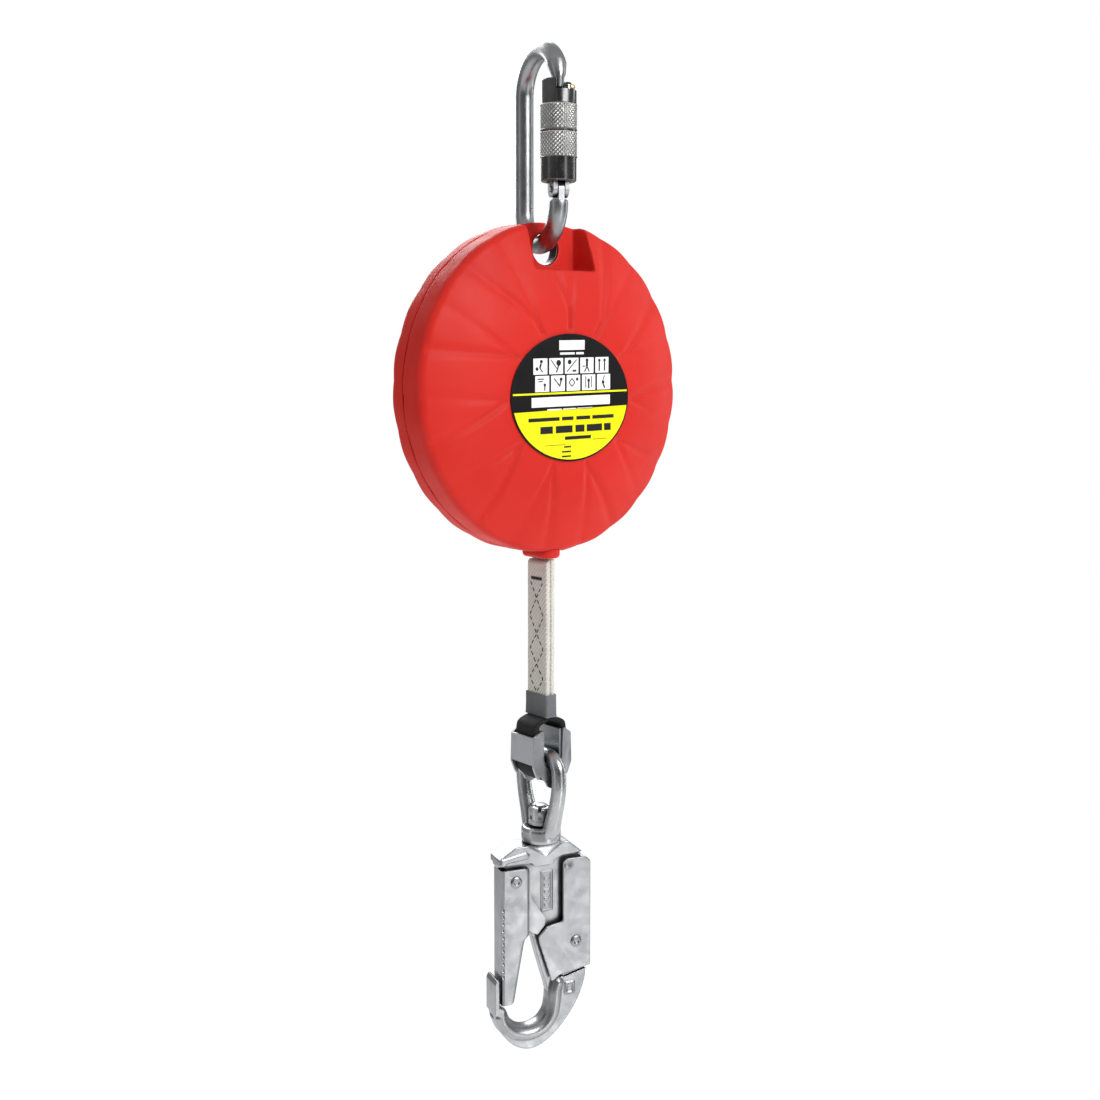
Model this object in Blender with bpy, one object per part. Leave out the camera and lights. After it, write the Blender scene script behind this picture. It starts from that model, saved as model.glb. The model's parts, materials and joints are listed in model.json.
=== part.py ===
"""Self retracting lifeline: carabiner, fluted round housing with its drum, brake and spring,
webbing with sewn loop and thimble, swivel eye and double-action snap hook.

Metres, +Z up, label side faces -Y.  The origin is the inner top of the carabiner, where an
anchor bears.  Shapes are written in millimetres and scaled by MM when a mesh is made.
"""

from math import acos, atan2, cos, exp, hypot, pi, radians, sin, tau

import bmesh
import bpy
from mathutils import Matrix, Vector

MM = 0.001
GAP = 0.3                     # clearance between touching pieces

# Carabiner
ROD_R = 4.8                   # rod radius
BEND_HALF = 25.2              # half distance between spine and gate axes
BEND_RISE = 19.0              # height of the elliptical end bends
BODY_TOP = 4.8                # rod centre at the top, so the inner top is z = 0
BODY_BOTTOM = -92.8           # rod centre at the bottom
CARABINER_YAW = radians(-18.6)
GATE_PIN_Z = -67.5
GATE_PIN_R = 1.6
TANG_R = 4.3                  # eye of the rod end that the gate hinges on
TANG_HALF = 1.6
FOOT_HALF = 4.2               # half width of the gate's forked foot
STOP_PIN_Z = -17.0            # brass pin that stops the sleeve's turn
SLEEVE_R = 9.3
SLEEVE_BORE = 6.2
SLEEVE_TOP = -14.0
SLEEVE_BOTTOM = -64.0

# Housing, in its own axes: centre of the drum at (0, HOUSING_Z)
HOUSING_Z = -166.8
HOUSING_R = 85.0
PARTING_Y = 2.0
FRONT_Y = -24.0               # label face
REAR_Y = 20.0                 # rear centre pad
RIM_Y = 12.5                  # face of either shell at its rim, from the middle plane
FLAT_R = 40.4                 # flat centre of either shell
WALL = 2.6
LABEL_HALF_X = 38.9
LABEL_HALF_Z = 32.3
LABEL_DROP = 4.6              # label centre below the housing centre
LABEL_T = 0.4
UNITS = 11                    # pairs of flutes round the housing
STRONG_SWEEP = radians(11.0)
WEAK_SWEEP = radians(-5.4)
SWEEP_REACH = 22.0            # radial distance over which most of the sweep happens
FLUTE_PHASE = 0.004           # keeps a strong valley off the recess edge
VALLEY = 1.3                  # depth of a strong valley
WEAK_SHARE = 0.55             # depth of a weak valley as a share of a strong one
HOLE_UP = 71.6                # hanging hole above the housing centre
HOLE_R = 8.4
FLOOR_Y = 4.0                 # recess floors at -FLOOR_Y and +FLOOR_Y
RECESS_HALF = 18.0
RECESS_DOWN = 61.0
RECESS_DRAFT = 1.16           # how much wider a recess is at its mouth
SCREW_RING_R = 76.0
SCREW_ANGLES = (36, 90, 144, 216, 270, 324)     # from the top
SCREW_SPOTS = [(SCREW_RING_R * sin(radians(a)), HOUSING_Z + SCREW_RING_R * cos(radians(a)))
               for a in SCREW_ANGLES]
BUSH_SEAT_R = 9.3

# Drum and frame
PLATE_R = 66.0
PLATE_IN = 10.7
PLATE_T = 1.5
WEB_W = 17.0                  # webbing width
WEB_T = 2.8                   # webbing thickness
ROLL_R = 56.0
HUB_R = 22.0
SHAFT_R = 5.0
TEETH = 12
TOOTH_PHASE = radians(16.5)   # first tooth face, so that a parked pawl can swing out
BAR_X, BAR_Z, BAR_R = 5.75, -74.5, 4.0     # webbing guide bar, from the drum's centre

# Lifeline, world heights
STRAP_TOP = -256.0
STRAP_BOTTOM = -339.5
STRAP_T = 6.0
BAND_TOP = -327.5
EYE_AXIS_Z = -360.3           # bar of the swivel eye in the thimble
EYE_ROD_R = 3.9
EYE_HALF = 14.8
COLLAR_TOP = -399.0
COLLAR_BOTTOM = -407.4
COLLAR_R = 10.5

# Snap hook
HOOK_YAW = radians(-16.0)
HOOK_TOP = -407.7
PLATE_HALF = 3.0              # half thickness of the hook's web
RIM_HALF = 6.5                # half thickness of its bowl and head
GATE_PIVOT = (-16.8, -426.3)
LEVER_PIVOT = (17.5, -463.2)


# ---------------------------------------------------------------- scene and materials
def clear_scene():
    for obj in list(bpy.data.objects):
        bpy.data.objects.remove(obj, do_unlink=True)


def make_material(name, colour, metallic, roughness):
    mat = bpy.data.materials.new(name)
    mat.use_nodes = True
    shader = mat.node_tree.nodes["Principled BSDF"]
    shader.inputs["Base Color"].default_value = (*colour, 1.0)
    shader.inputs["Metallic"].default_value = metallic
    shader.inputs["Roughness"].default_value = roughness
    return mat


FINISHES = {
    "red": ((0.78, 0.05, 0.04), 0.0, 0.45),
    "steel": ((0.62, 0.63, 0.64), 1.0, 0.25),
    "dark_steel": ((0.30, 0.31, 0.33), 1.0, 0.4),
    "satin": ((0.42, 0.44, 0.46), 1.0, 0.45),
    "brass": ((0.75, 0.55, 0.25), 1.0, 0.35),
    "webbing": ((0.62, 0.60, 0.55), 0.0, 0.9),
    "black": ((0.03, 0.03, 0.03), 0.0, 0.8),
    "grey_plastic": ((0.30, 0.30, 0.30), 0.0, 0.6),
    "lining": ((0.28, 0.20, 0.14), 0.0, 0.85),
    "label": ((0.05, 0.05, 0.05), 0.0, 0.4),
}


# ---------------------------------------------------------------- mesh helpers
def finish_mesh(bm, name):
    bmesh.ops.recalc_face_normals(bm, faces=bm.faces)
    mesh = bpy.data.meshes.new(name)
    bm.to_mesh(mesh)
    bm.free()
    mesh.transform(Matrix.Scale(MM, 4))
    mesh.shade_smooth()
    mesh.set_sharp_from_angle(angle=radians(35))
    return mesh


def add_object(name, bm, finish, parent=None):
    mesh = finish_mesh(bm, name)
    obj = bpy.data.objects.new(name, mesh)
    bpy.context.scene.collection.objects.link(obj)
    colour, metallic, roughness = FINISHES[finish]
    mesh.materials.append(make_material(name, colour, metallic, roughness))
    if parent is not None:
        obj.parent = parent
        obj.location = -Vector(parent["pivot"])
    return obj


def add_cutter(name, bm, parent=None):
    obj = bpy.data.objects.new(name, finish_mesh(bm, name))
    bpy.context.scene.collection.objects.link(obj)
    obj.hide_render = True
    obj.display_type = "WIRE"
    if parent is not None:
        obj.parent = parent
        obj.location = -Vector(parent["pivot"])
    return obj


def add_pivot(name, x, y, z, parent=None, yaw=0.0):
    """An empty on a joint's axis.  Its pieces are drawn from the parent group's own zero."""
    empty = bpy.data.objects.new(name, None)
    bpy.context.scene.collection.objects.link(empty)
    spot = Vector((x, y, z)) * MM
    empty["pivot"] = spot
    empty.location = spot
    if parent is not None:
        empty.parent = parent
        empty.location = spot - Vector(parent["pivot"])
    empty.rotation_euler.z = yaw
    return empty


def boolean(obj, other, operation):
    mod = obj.modifiers.new(operation.lower(), "BOOLEAN")
    mod.operation = operation
    mod.object = other
    mod.solver = "EXACT"


def loft(rings, closed=False):
    """Skin between rings of equal count; ends are capped unless the loft closes on itself."""
    bm = bmesh.new()
    loops = [[bm.verts.new(p) for p in ring] for ring in rings]
    count = len(loops[0])
    pairs = list(zip(loops, loops[1:]))
    if closed:
        pairs.append((loops[-1], loops[0]))
    for low, high in pairs:
        for i in range(count):
            j = (i + 1) % count
            bm.faces.new((low[i], low[j], high[j], high[i]))
    if not closed:
        bm.faces.new(loops[0])
        bm.faces.new(loops[-1])
    return bm


def slab(outline, y0, y1):
    """A plate: an outline in X and Z, drawn through from y0 to y1."""
    return loft([[(x, y0, z) for x, z in outline], [(x, y1, z) for x, z in outline]])


def ring_slab(outer, inner, y0, y1):
    """A plate with one opening; both outlines have the same number of points."""
    rings = [[(x, y, z) for x, z in line] for line, y in
             ((outer, y0), (outer, y1), (inner, y1), (inner, y0))]
    return loft(rings, closed=True)


def arc(cx, cz, radius, start, end, steps):
    """Points on an arc in X and Z, angles in degrees from +X towards +Z."""
    turn = [radians(start + (end - start) * i / steps) for i in range(steps + 1)]
    return [(cx + radius * cos(a), cz + radius * sin(a)) for a in turn]


def circle(cx, cz, radius, steps=32):
    return arc(cx, cz, radius, 0, 360, steps)[:-1]


def hexagon(cx, cz, half_flats):
    """Hexagon outline with four points to a side, so that it pairs with a round bore."""
    points = []
    for i in range(24):
        a = tau * i / 24
        reach = half_flats / cos((a + pi / 6) % (pi / 3) - pi / 6)
        points.append((cx + reach * cos(a), cz + reach * sin(a)))
    return points


def turned_y(profile, cx=0.0, cz=0.0, steps=24):
    """A ring turned about Y: profile is a closed loop of (radius, y)."""
    rings = []
    for i in range(steps):
        a = tau * i / steps
        rings.append([(cx + r * cos(a), y, cz + r * sin(a)) for r, y in profile])
    return loft(rings, closed=True)


def turned_z(profile, cx=0.0, cy=0.0, steps=32):
    """A ring turned about Z: profile is a closed loop of (radius, z)."""
    rings = []
    for i in range(steps):
        a = tau * i / steps
        rings.append([(cx + r * cos(a), cy + r * sin(a), z) for r, z in profile])
    return loft(rings, closed=True)


def rod_y(radius, y0, y1, cx=0.0, cz=0.0, steps=20):
    return slab(circle(cx, cz, radius, steps), y0, y1)


def rod_z(profile, cx=0.0, cy=0.0, steps=20):
    """A solid bar along Z: profile is a list of (radius, z)."""
    rings = [[(cx + r * cos(tau * i / steps), cy + r * sin(tau * i / steps), z)
              for i in range(steps)] for r, z in profile]
    return loft(rings)


def rod_x(radius, x0, x1, cy, cz, steps=14):
    rings = [[(x, cy + radius * cos(tau * i / steps), cz + radius * sin(tau * i / steps))
              for i in range(steps)] for x in (x0, x1)]
    return loft(rings)


def ring_y(inner, outer, y0, y1, cx=0.0, cz=0.0, steps=24):
    return turned_y([(inner, y0), (outer, y0), (outer, y1), (inner, y1)], cx, cz, steps)


def box(x0, x1, y0, y1, z0, z1):
    return slab([(x0, z0), (x1, z0), (x1, z1), (x0, z1)], y0, y1)


def stadium(half_y, half_x, z, steps=8):
    """A slot outline at height z, long along Y."""
    run = half_y - half_x
    points = [(half_x * cos(pi * i / steps), run + half_x * sin(pi * i / steps), z)
              for i in range(steps + 1)]
    points += [(-x, -y, z) for x, y, z in points]
    return points


def sweep_yz(path, sections, x_centre=0.0, squash=1.0, sides=12):
    """A bent rod in the YZ plane: path of (y, z), one radius for each point."""
    rings = []
    for i, (y, z) in enumerate(path):
        before = path[max(i - 1, 0)]
        after = path[min(i + 1, len(path) - 1)]
        ty, tz = after[0] - before[0], after[1] - before[1]
        size = hypot(ty, tz)
        ny, nz = -tz / size, ty / size
        radius = sections[i]
        ring = []
        for k in range(sides):
            a = tau * k / sides
            side = radius * cos(a)
            ring.append((x_centre + squash * radius * sin(a), y + side * ny, z + side * nz))
        rings.append(ring)
    return loft(rings)


def band(points, thickness, y0, y1):
    """A flat strap edge-on in XZ, following a centre line."""
    left, right = [], []
    for i, (x, z) in enumerate(points):
        before = points[max(i - 1, 0)]
        after = points[min(i + 1, len(points) - 1)]
        tx, tz = after[0] - before[0], after[1] - before[1]
        size = hypot(tx, tz)
        nx, nz = -tz / size * thickness / 2, tx / size * thickness / 2
        left.append((x + nx, z + nz))
        right.append((x - nx, z - nz))
    rings = [[(a[0], y0, a[1]), (b[0], y0, b[1]), (b[0], y1, b[1]), (a[0], y1, a[1])]
             for a, b in zip(left, right)]
    return loft(rings)


# ---------------------------------------------------------------- carabiner
def carabiner_path():
    """Rod centre line from the nose over the top, down the spine and up to the gate hinge."""
    top = BODY_TOP - BEND_RISE
    low = BODY_BOTTOM + BEND_RISE
    path = [(-BEND_HALF, -17.7), (-BEND_HALF, -12.6)]
    path += [(-BEND_HALF * cos(pi * i / 12), top + BEND_RISE * sin(pi * i / 12))
             for i in range(1, 13)]
    path += [(BEND_HALF, (top + low) / 2)]
    path += [(BEND_HALF * cos(pi * i / 12), low - BEND_RISE * sin(pi * i / 12))
             for i in range(13)]
    path += [(-BEND_HALF, GATE_PIN_Z - 5.2)]
    return path


def make_carabiner(root):
    path = carabiner_path()
    radii = [2.5, 2.8] + [ROD_R] * (len(path) - 2)
    body = add_object("carabiner_body", sweep_yz(path, radii), "steel", root)
    tang = [(-BEND_HALF + y, z) for y, z in arc(0, GATE_PIN_Z, TANG_R, 0, 180, 8)]
    tang += [(-BEND_HALF - TANG_R, GATE_PIN_Z - 9), (-BEND_HALF + TANG_R, GATE_PIN_Z - 9)]
    bm = loft([[(x, y, z) for y, z in tang] for x in (-TANG_HALF, TANG_HALF)])
    boolean(body, add_cutter("tang_shape", bm, root), "UNION")
    bm = rod_x(GATE_PIN_R + GAP, -4, 4, -BEND_HALF, GATE_PIN_Z)
    boolean(body, add_cutter("tang_hole", bm, root), "DIFFERENCE")

    hinge = add_pivot("carabiner_gate_pivot", 0, -BEND_HALF, GATE_PIN_Z, root)
    gate = add_object("carabiner_gate", rod_z(
        [(4.6, GATE_PIN_Z + 2), (5.5, GATE_PIN_Z + 7), (5.5, -21), (4.9, -20.1)],
        0, -BEND_HALF), "steel", hinge)
    foot = [(-BEND_HALF + y, z) for y, z in arc(0, GATE_PIN_Z, FOOT_HALF, 180, 360, 10)]
    foot += [(-BEND_HALF + FOOT_HALF, GATE_PIN_Z + 6), (-BEND_HALF - FOOT_HALF, GATE_PIN_Z + 6)]
    bm = loft([[(x, y, z) for y, z in foot] for x in (-FOOT_HALF, FOOT_HALF)])
    boolean(gate, add_cutter("gate_foot", bm, hinge), "UNION")
    slot_half = TANG_HALF + 0.4
    slot = box(-slot_half, slot_half, -BEND_HALF - 8, -BEND_HALF + 8,
               GATE_PIN_Z - 8, GATE_PIN_Z + 5.2)
    boolean(gate, add_cutter("gate_fork_slot", slot, hinge), "DIFFERENCE")
    bm = rod_x(GATE_PIN_R + GAP, -7, 7, -BEND_HALF, GATE_PIN_Z)
    boolean(gate, add_cutter("gate_fork_hole", bm, hinge), "DIFFERENCE")
    lug = box(4.4, 5.5, -BEND_HALF - 1.6, -BEND_HALF + 1.6, -22, -15.9)
    boolean(gate, add_cutter("gate_head_lug", lug, hinge), "UNION")
    bm = rod_x(1.0, 0, 9, -BEND_HALF, STOP_PIN_Z)
    boolean(gate, add_cutter("gate_lug_hole", bm, hinge), "DIFFERENCE")
    add_object("carabiner_gate_pin", rod_x(GATE_PIN_R, -5.0, 5.0, -BEND_HALF, GATE_PIN_Z),
               "steel", root)
    bm = rod_x(0.7, 4.2, 6.4, -BEND_HALF, STOP_PIN_Z, 10)
    pin = add_object("sleeve_stop_pin", bm, "brass", hinge)
    head = rod_x(1.4, 6.0, 8.4, -BEND_HALF, STOP_PIN_Z, 12)
    boolean(pin, add_cutter("stop_pin_head", head, hinge), "UNION")

    profile = [(SLEEVE_BORE, SLEEVE_TOP), (8.4, SLEEVE_TOP), (8.9, -14.8), (8.9, -26.0),
               (SLEEVE_R, -26.4), (SLEEVE_R, -38.6), (8.9, -39.0), (8.9, -39.6),
               (SLEEVE_R, -40.0), (SLEEVE_R, -52.0), (8.9, -52.4), (8.9, -63.2),
               (8.4, SLEEVE_BOTTOM), (SLEEVE_BORE, SLEEVE_BOTTOM)]
    sleeve = add_object("twist_lock_sleeve", turned_z(profile, 0, -BEND_HALF, 24), "steel", hinge)
    fan = [(0.0, -BEND_HALF)]
    for i in range(9):
        a = radians(-90 - 29 + (29 + 112) * i / 8)
        fan.append((14 * cos(a), -BEND_HALF + 14 * sin(a)))
    bm = loft([[(x, y, z) for x, y in fan] for z in (-19.5, -12.0)])
    boolean(sleeve, add_cutter("sleeve_slot", bm, hinge), "DIFFERENCE")


# ---------------------------------------------------------------- housing shells
def dome(radius, rise, rim):
    """Axial height of a shell's face above the rim edge, on a gentle dome."""
    if radius <= FLAT_R:
        return rim + rise
    t = (radius - FLAT_R) / (HOUSING_R - FLAT_R)
    return rim + rise * (1 - t ** 1.7)


def sweep_of(radius, full):
    """How far a flute's valley has turned from its start at the flat centre."""
    run = max(radius - FLAT_R, 0.0)
    whole = 1 - exp(-(HOUSING_R - FLAT_R) / SWEEP_REACH)
    return full * (1 - exp(-run / SWEEP_REACH)) / whole


def shell_angles(radius, side):
    """Grid lines of one ring: each flute pair has a strong and a weak valley."""
    lines = []
    unit = tau / UNITS
    for k in range(UNITS):
        strong = unit * k + sweep_of(radius, STRONG_SWEEP) + FLUTE_PHASE
        weak = unit * (k + 1) + sweep_of(radius, WEAK_SWEEP)
        after = unit * (k + 1) + sweep_of(radius, STRONG_SWEEP) + FLUTE_PHASE
        lines += [(strong, 1.0), ((strong + weak) / 2, 0.0), (weak, WEAK_SHARE),
                  ((weak + after) / 2, 0.0)]
    return [(a * side + pi / 2, depth) for a, depth in lines]


def shell_ring(radius, y, side, valley):
    """One ring of an outer surface; valleys sink by up to the valley depth."""
    ring = []
    for a, depth in shell_angles(radius, side):
        sunk = depth * valley
        inward = sunk if radius > HOUSING_R - 2.6 else 0.0
        down = 0.0 if radius > HOUSING_R - 2.6 else sunk
        r = radius - 0.6 * inward
        ring.append((r * cos(a), y + down * (1 if y < PARTING_Y else -1),
                     r * sin(a) + HOUSING_Z))
    return ring


def plain_ring(radius, y, side):
    return [(radius * cos(a), y, radius * sin(a) + HOUSING_Z)
            for a, _ in shell_angles(min(radius, HOUSING_R), side)]


def shell_mesh(out, centre_y, rim_y, start_y, side):
    """A thin shell: fluted outside from the parting line to the centre, plain inside."""
    rise = abs(centre_y - rim_y)
    outside = [shell_ring(HOUSING_R, start_y, side, VALLEY),
               shell_ring(HOUSING_R, rim_y - out * 4.0, side, VALLEY),
               shell_ring(83.6, rim_y - out * 1.2, side, VALLEY)]
    for r in (80.5, 70.0, 54.0):
        outside.append(shell_ring(r, out * dome(r, rise, RIM_Y), side, VALLEY))
    outside.append(shell_ring(FLAT_R + 1.9, centre_y, side, VALLEY / 2))
    outside.append(plain_ring(FLAT_R, centre_y, side))
    inner = HOUSING_R - WALL
    inside = [plain_ring(38.0, centre_y - out * WALL, side)]
    for r in (58.0, 79.5):
        inside.append(plain_ring(r, out * dome(r, rise, RIM_Y) - out * WALL, side))
    inside.append(plain_ring(inner, rim_y - out * 5.5, side))
    inside.append(plain_ring(inner, start_y, side))
    bm = bmesh.new()
    loops = [[bm.verts.new(p) for p in ring] for ring in outside + inside]
    count = len(loops[0])
    split = len(outside)
    for k in range(len(loops)):
        if k == split - 1:
            continue
        low, high = loops[k], loops[(k + 1) % len(loops)]
        for i in range(count):
            j = (i + 1) % count
            bm.faces.new((low[i], low[j], high[j], high[i]))
    bm.faces.new(loops[split - 1])
    bm.faces.new(loops[split])
    return bm


def envelope_mesh(out, centre_y, rim_y, start_y, side):
    """The same outside, filled solid, shrunk slightly; it trims the pocket walls."""
    rise = abs(centre_y - rim_y)
    rings = [plain_ring(HOUSING_R - 1.5, start_y, side),
             plain_ring(HOUSING_R - 1.5, rim_y - out * 4.5, side)]
    for r in (79.0, 66.0, 52.0):
        rings.append(plain_ring(r, out * dome(r, rise, RIM_Y) - out * 1.5, side))
    return loft(rings)


def make_shell(name, out, pivot):
    """Front shell for out = -1, rear shell for out = +1."""
    front = out < 0
    centre_y = FRONT_Y if front else REAR_Y
    rim_y = out * RIM_Y
    start_y = PARTING_Y - GAP / 2 if front else PARTING_Y + GAP / 2
    side = 1 if front else -1
    shell = add_object(name, shell_mesh(out, centre_y, rim_y, start_y, side), "red", pivot)

    near = -1.8 if front else start_y
    top = HOUSING_Z + 90
    block = add_cutter(name + "_pocket_block", box(
        -RECESS_HALF - 2.4, RECESS_HALF + 2.4, min(near, out * 30), max(near, out * 30),
        HOUSING_Z + RECESS_DOWN - 2.2, top), pivot)
    fill = add_cutter(name + "_envelope", envelope_mesh(out, centre_y, rim_y, near, side), pivot)
    boolean(fill, block, "INTERSECT")
    boolean(shell, fill, "UNION")
    for i, (x, z) in enumerate(SCREW_SPOTS):
        seat_y = out * (dome(SCREW_RING_R, abs(centre_y - rim_y), RIM_Y) - WALL / 2)
        boss = rod_y(3.6 if front else 4.3, start_y, seat_y, x, z, 14)
        boolean(shell, add_cutter(f"{name}_boss_{i}", boss, pivot), "UNION")
    draft = [(-RECESS_HALF, HOUSING_Z + RECESS_DOWN), (RECESS_HALF, HOUSING_Z + RECESS_DOWN),
             (RECESS_HALF, top), (-RECESS_HALF, top)]
    wide = [(x * RECESS_DRAFT, z - 1.5 if z < top else z) for x, z in draft]
    recess = loft([[(x, out * FLOOR_Y, z) for x, z in draft],
                   [(x, out * 26, z) for x, z in wide]])
    boolean(shell, add_cutter(name + "_recess", recess, pivot), "DIFFERENCE")
    hole_z = HOUSING_Z + HOLE_UP
    low_y, high_y = sorted((out * 3.1, out * 40))
    through = rod_y(HOLE_R, low_y, high_y, 0, hole_z, 28)
    boolean(shell, add_cutter(name + "_hole", through, pivot), "DIFFERENCE")
    seat = rod_y(BUSH_SEAT_R, *sorted((0.0, out * 3.1)), 0, hole_z, 28)
    boolean(shell, add_cutter(name + "_bush_seat", seat, pivot), "DIFFERENCE")
    mouth = loft([stadium(12.2, 6.7, z) for z in (HOUSING_Z - 95, HOUSING_Z - 70)])
    boolean(shell, add_cutter(name + "_nozzle_mouth", mouth, pivot), "DIFFERENCE")
    for i, (x, z) in enumerate(SCREW_SPOTS):
        if front:
            hole = rod_y(1.7, -9.2, 6, x, z, 12)
        else:
            hole = turned_hole(x, z)
        boolean(shell, add_cutter(f"{name}_screw_hole_{i}", hole, pivot), "DIFFERENCE")
    return shell


def turned_hole(x, z):
    """A stepped screw hole in the rear shell: clearance bore, then a pocket for the head."""
    rings = [[(x + r * cos(tau * i / 14), y, z + r * sin(tau * i / 14)) for i in range(14)]
             for r, y in ((1.7, 0.0), (1.7, 8.0), (3.3, 8.0), (3.3, 24.0))]
    return loft(rings)


def make_housing(pivot):
    make_shell("front_shell", -1, pivot)
    make_shell("rear_shell", 1, pivot)
    label_y = FRONT_Y - GAP
    label_z = HOUSING_Z - LABEL_DROP
    outline = [(LABEL_HALF_X * cos(tau * i / 40), label_z + LABEL_HALF_Z * sin(tau * i / 40))
               for i in range(40)]
    add_object("front_label", slab(outline, label_y - LABEL_T, label_y), "label", pivot)
    for i, (x, z) in enumerate(SCREW_SPOTS):
        rings = [[(x + r * cos(tau * k / 12), y, z + r * sin(tau * k / 12)) for k in range(12)]
                 for r, y in ((1.4, -8.7), (1.4, 8.3), (2.9, 8.3), (2.9, 9.9), (2.2, 10.4))]
        add_object(f"housing_screw_{i + 1}", loft(rings), "dark_steel", pivot)

    hole_z = HOUSING_Z + HOLE_UP
    add_object("anchor_bush", ring_y(8.1, BUSH_SEAT_R - GAP, -2.8, 2.8, 0, hole_z, 28), "steel", pivot)
    outline = arc(0, HOUSING_Z, 58.8, 57, 123, 12)
    outline += [(-32.5, HOUSING_Z + 57.5), (-16.0, HOUSING_Z + 77.0)]
    outline += arc(0, HOUSING_Z, 82.0, 98, 82, 6)
    outline += [(16.0, HOUSING_Z + 77.0), (32.5, HOUSING_Z + 57.5)]
    plate = add_object("anchor_plate", slab(outline, -1.5, 1.5), "dark_steel", pivot)
    cut = rod_y(BUSH_SEAT_R, -5, 5, 0, hole_z, 28)
    boolean(plate, add_cutter("anchor_plate_bore", cut, pivot), "DIFFERENCE")

    spots = [(26.0, 56.3), (-26.0, 56.3), (44.0, -43.8), (-44.0, -43.8)]
    for name, y0, bore in (("front_frame_plate", -PLATE_IN - PLATE_T, 8.8),
                           ("rear_frame_plate", PLATE_IN, 9.4)):
        bm = ring_slab(circle(0, HOUSING_Z, PLATE_R, 32), circle(0, HOUSING_Z, bore, 32),
                       y0, y0 + PLATE_T)
        frame = add_object(name, bm, "dark_steel", pivot)
        notch = box(-21.6, 21.6, -20, 20, HOUSING_Z + RECESS_DOWN - 3.2, HOUSING_Z + 80)
        boolean(frame, add_cutter(name + "_notch", notch, pivot), "DIFFERENCE")
        for i, (x, z) in enumerate(spots):
            cut = rod_y(2.3, -20, 20, x, HOUSING_Z + z, 12)
            boolean(frame, add_cutter(f"{name}_hole_{i}", cut, pivot), "DIFFERENCE")
    for i, (x, z) in enumerate(spots):
        cut = rod_y(2.3, -20, 20, x, HOUSING_Z + z, 12)
        if z > 0:
            boolean(plate, add_cutter(f"anchor_plate_hole_{i}", cut, pivot), "DIFFERENCE")
        rings = [[(x + r * cos(tau * k / 12), y, HOUSING_Z + z + r * sin(tau * k / 12))
                  for k in range(12)]
                 for r, y in ((3.4, -13.2), (3.4, -12.5), (2.0, -12.5), (2.0, 12.2))]
        add_object(f"frame_bolt_{i + 1}", loft(rings), "steel", pivot)

    add_object("exit_nozzle", nozzle_mesh(), "red", pivot)
    add_object("webbing_guide_bar", rod_y(BAR_R, -10.2, 10.2, BAR_X, HOUSING_Z + BAR_Z),
               "steel", pivot)
    add_object("webbing_lead", band(lead_path(), WEB_T, -WEB_W / 2, WEB_W / 2), "webbing", pivot)


def nozzle_mesh():
    """Oval nozzle with a rounded lip, a flange inside the rim and a slot for the webbing."""
    z = HOUSING_Z
    outside = [stadium(10.0, 8.5, z - 79.4), stadium(10.0, 8.5, z - 81.2),
               stadium(11.9, 6.4, z - 81.6), stadium(11.9, 6.4, z - 86.6),
               stadium(11.2, 5.7, z - 87.8), stadium(10.2, 4.7, z - 88.3)]
    inside = [stadium(9.3, 3.8, z - 88.3), stadium(9.3, 3.8, z - 79.4)]
    return loft(outside + inside, closed=True)


def lead_path():
    """Webbing centre line: off the wound roll, round the guide bar, down into the nozzle."""
    roll = ROLL_R + GAP + WEB_T / 2
    bend = BAR_R + GAP + WEB_T / 2
    distance = hypot(BAR_X, BAR_Z)
    towards = atan2(BAR_Z, BAR_X)
    leave = towards + acos((roll + bend) / distance)
    points = [(roll * cos(leave), HOUSING_Z + roll * sin(leave))]
    start = leave + pi
    for i in range(7):
        a = start + (pi - start) * i / 6
        points.append((BAR_X + bend * cos(a), HOUSING_Z + BAR_Z + bend * sin(a)))
    points.append((BAR_X - bend, HOUSING_Z - 84.0))
    return points


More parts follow.
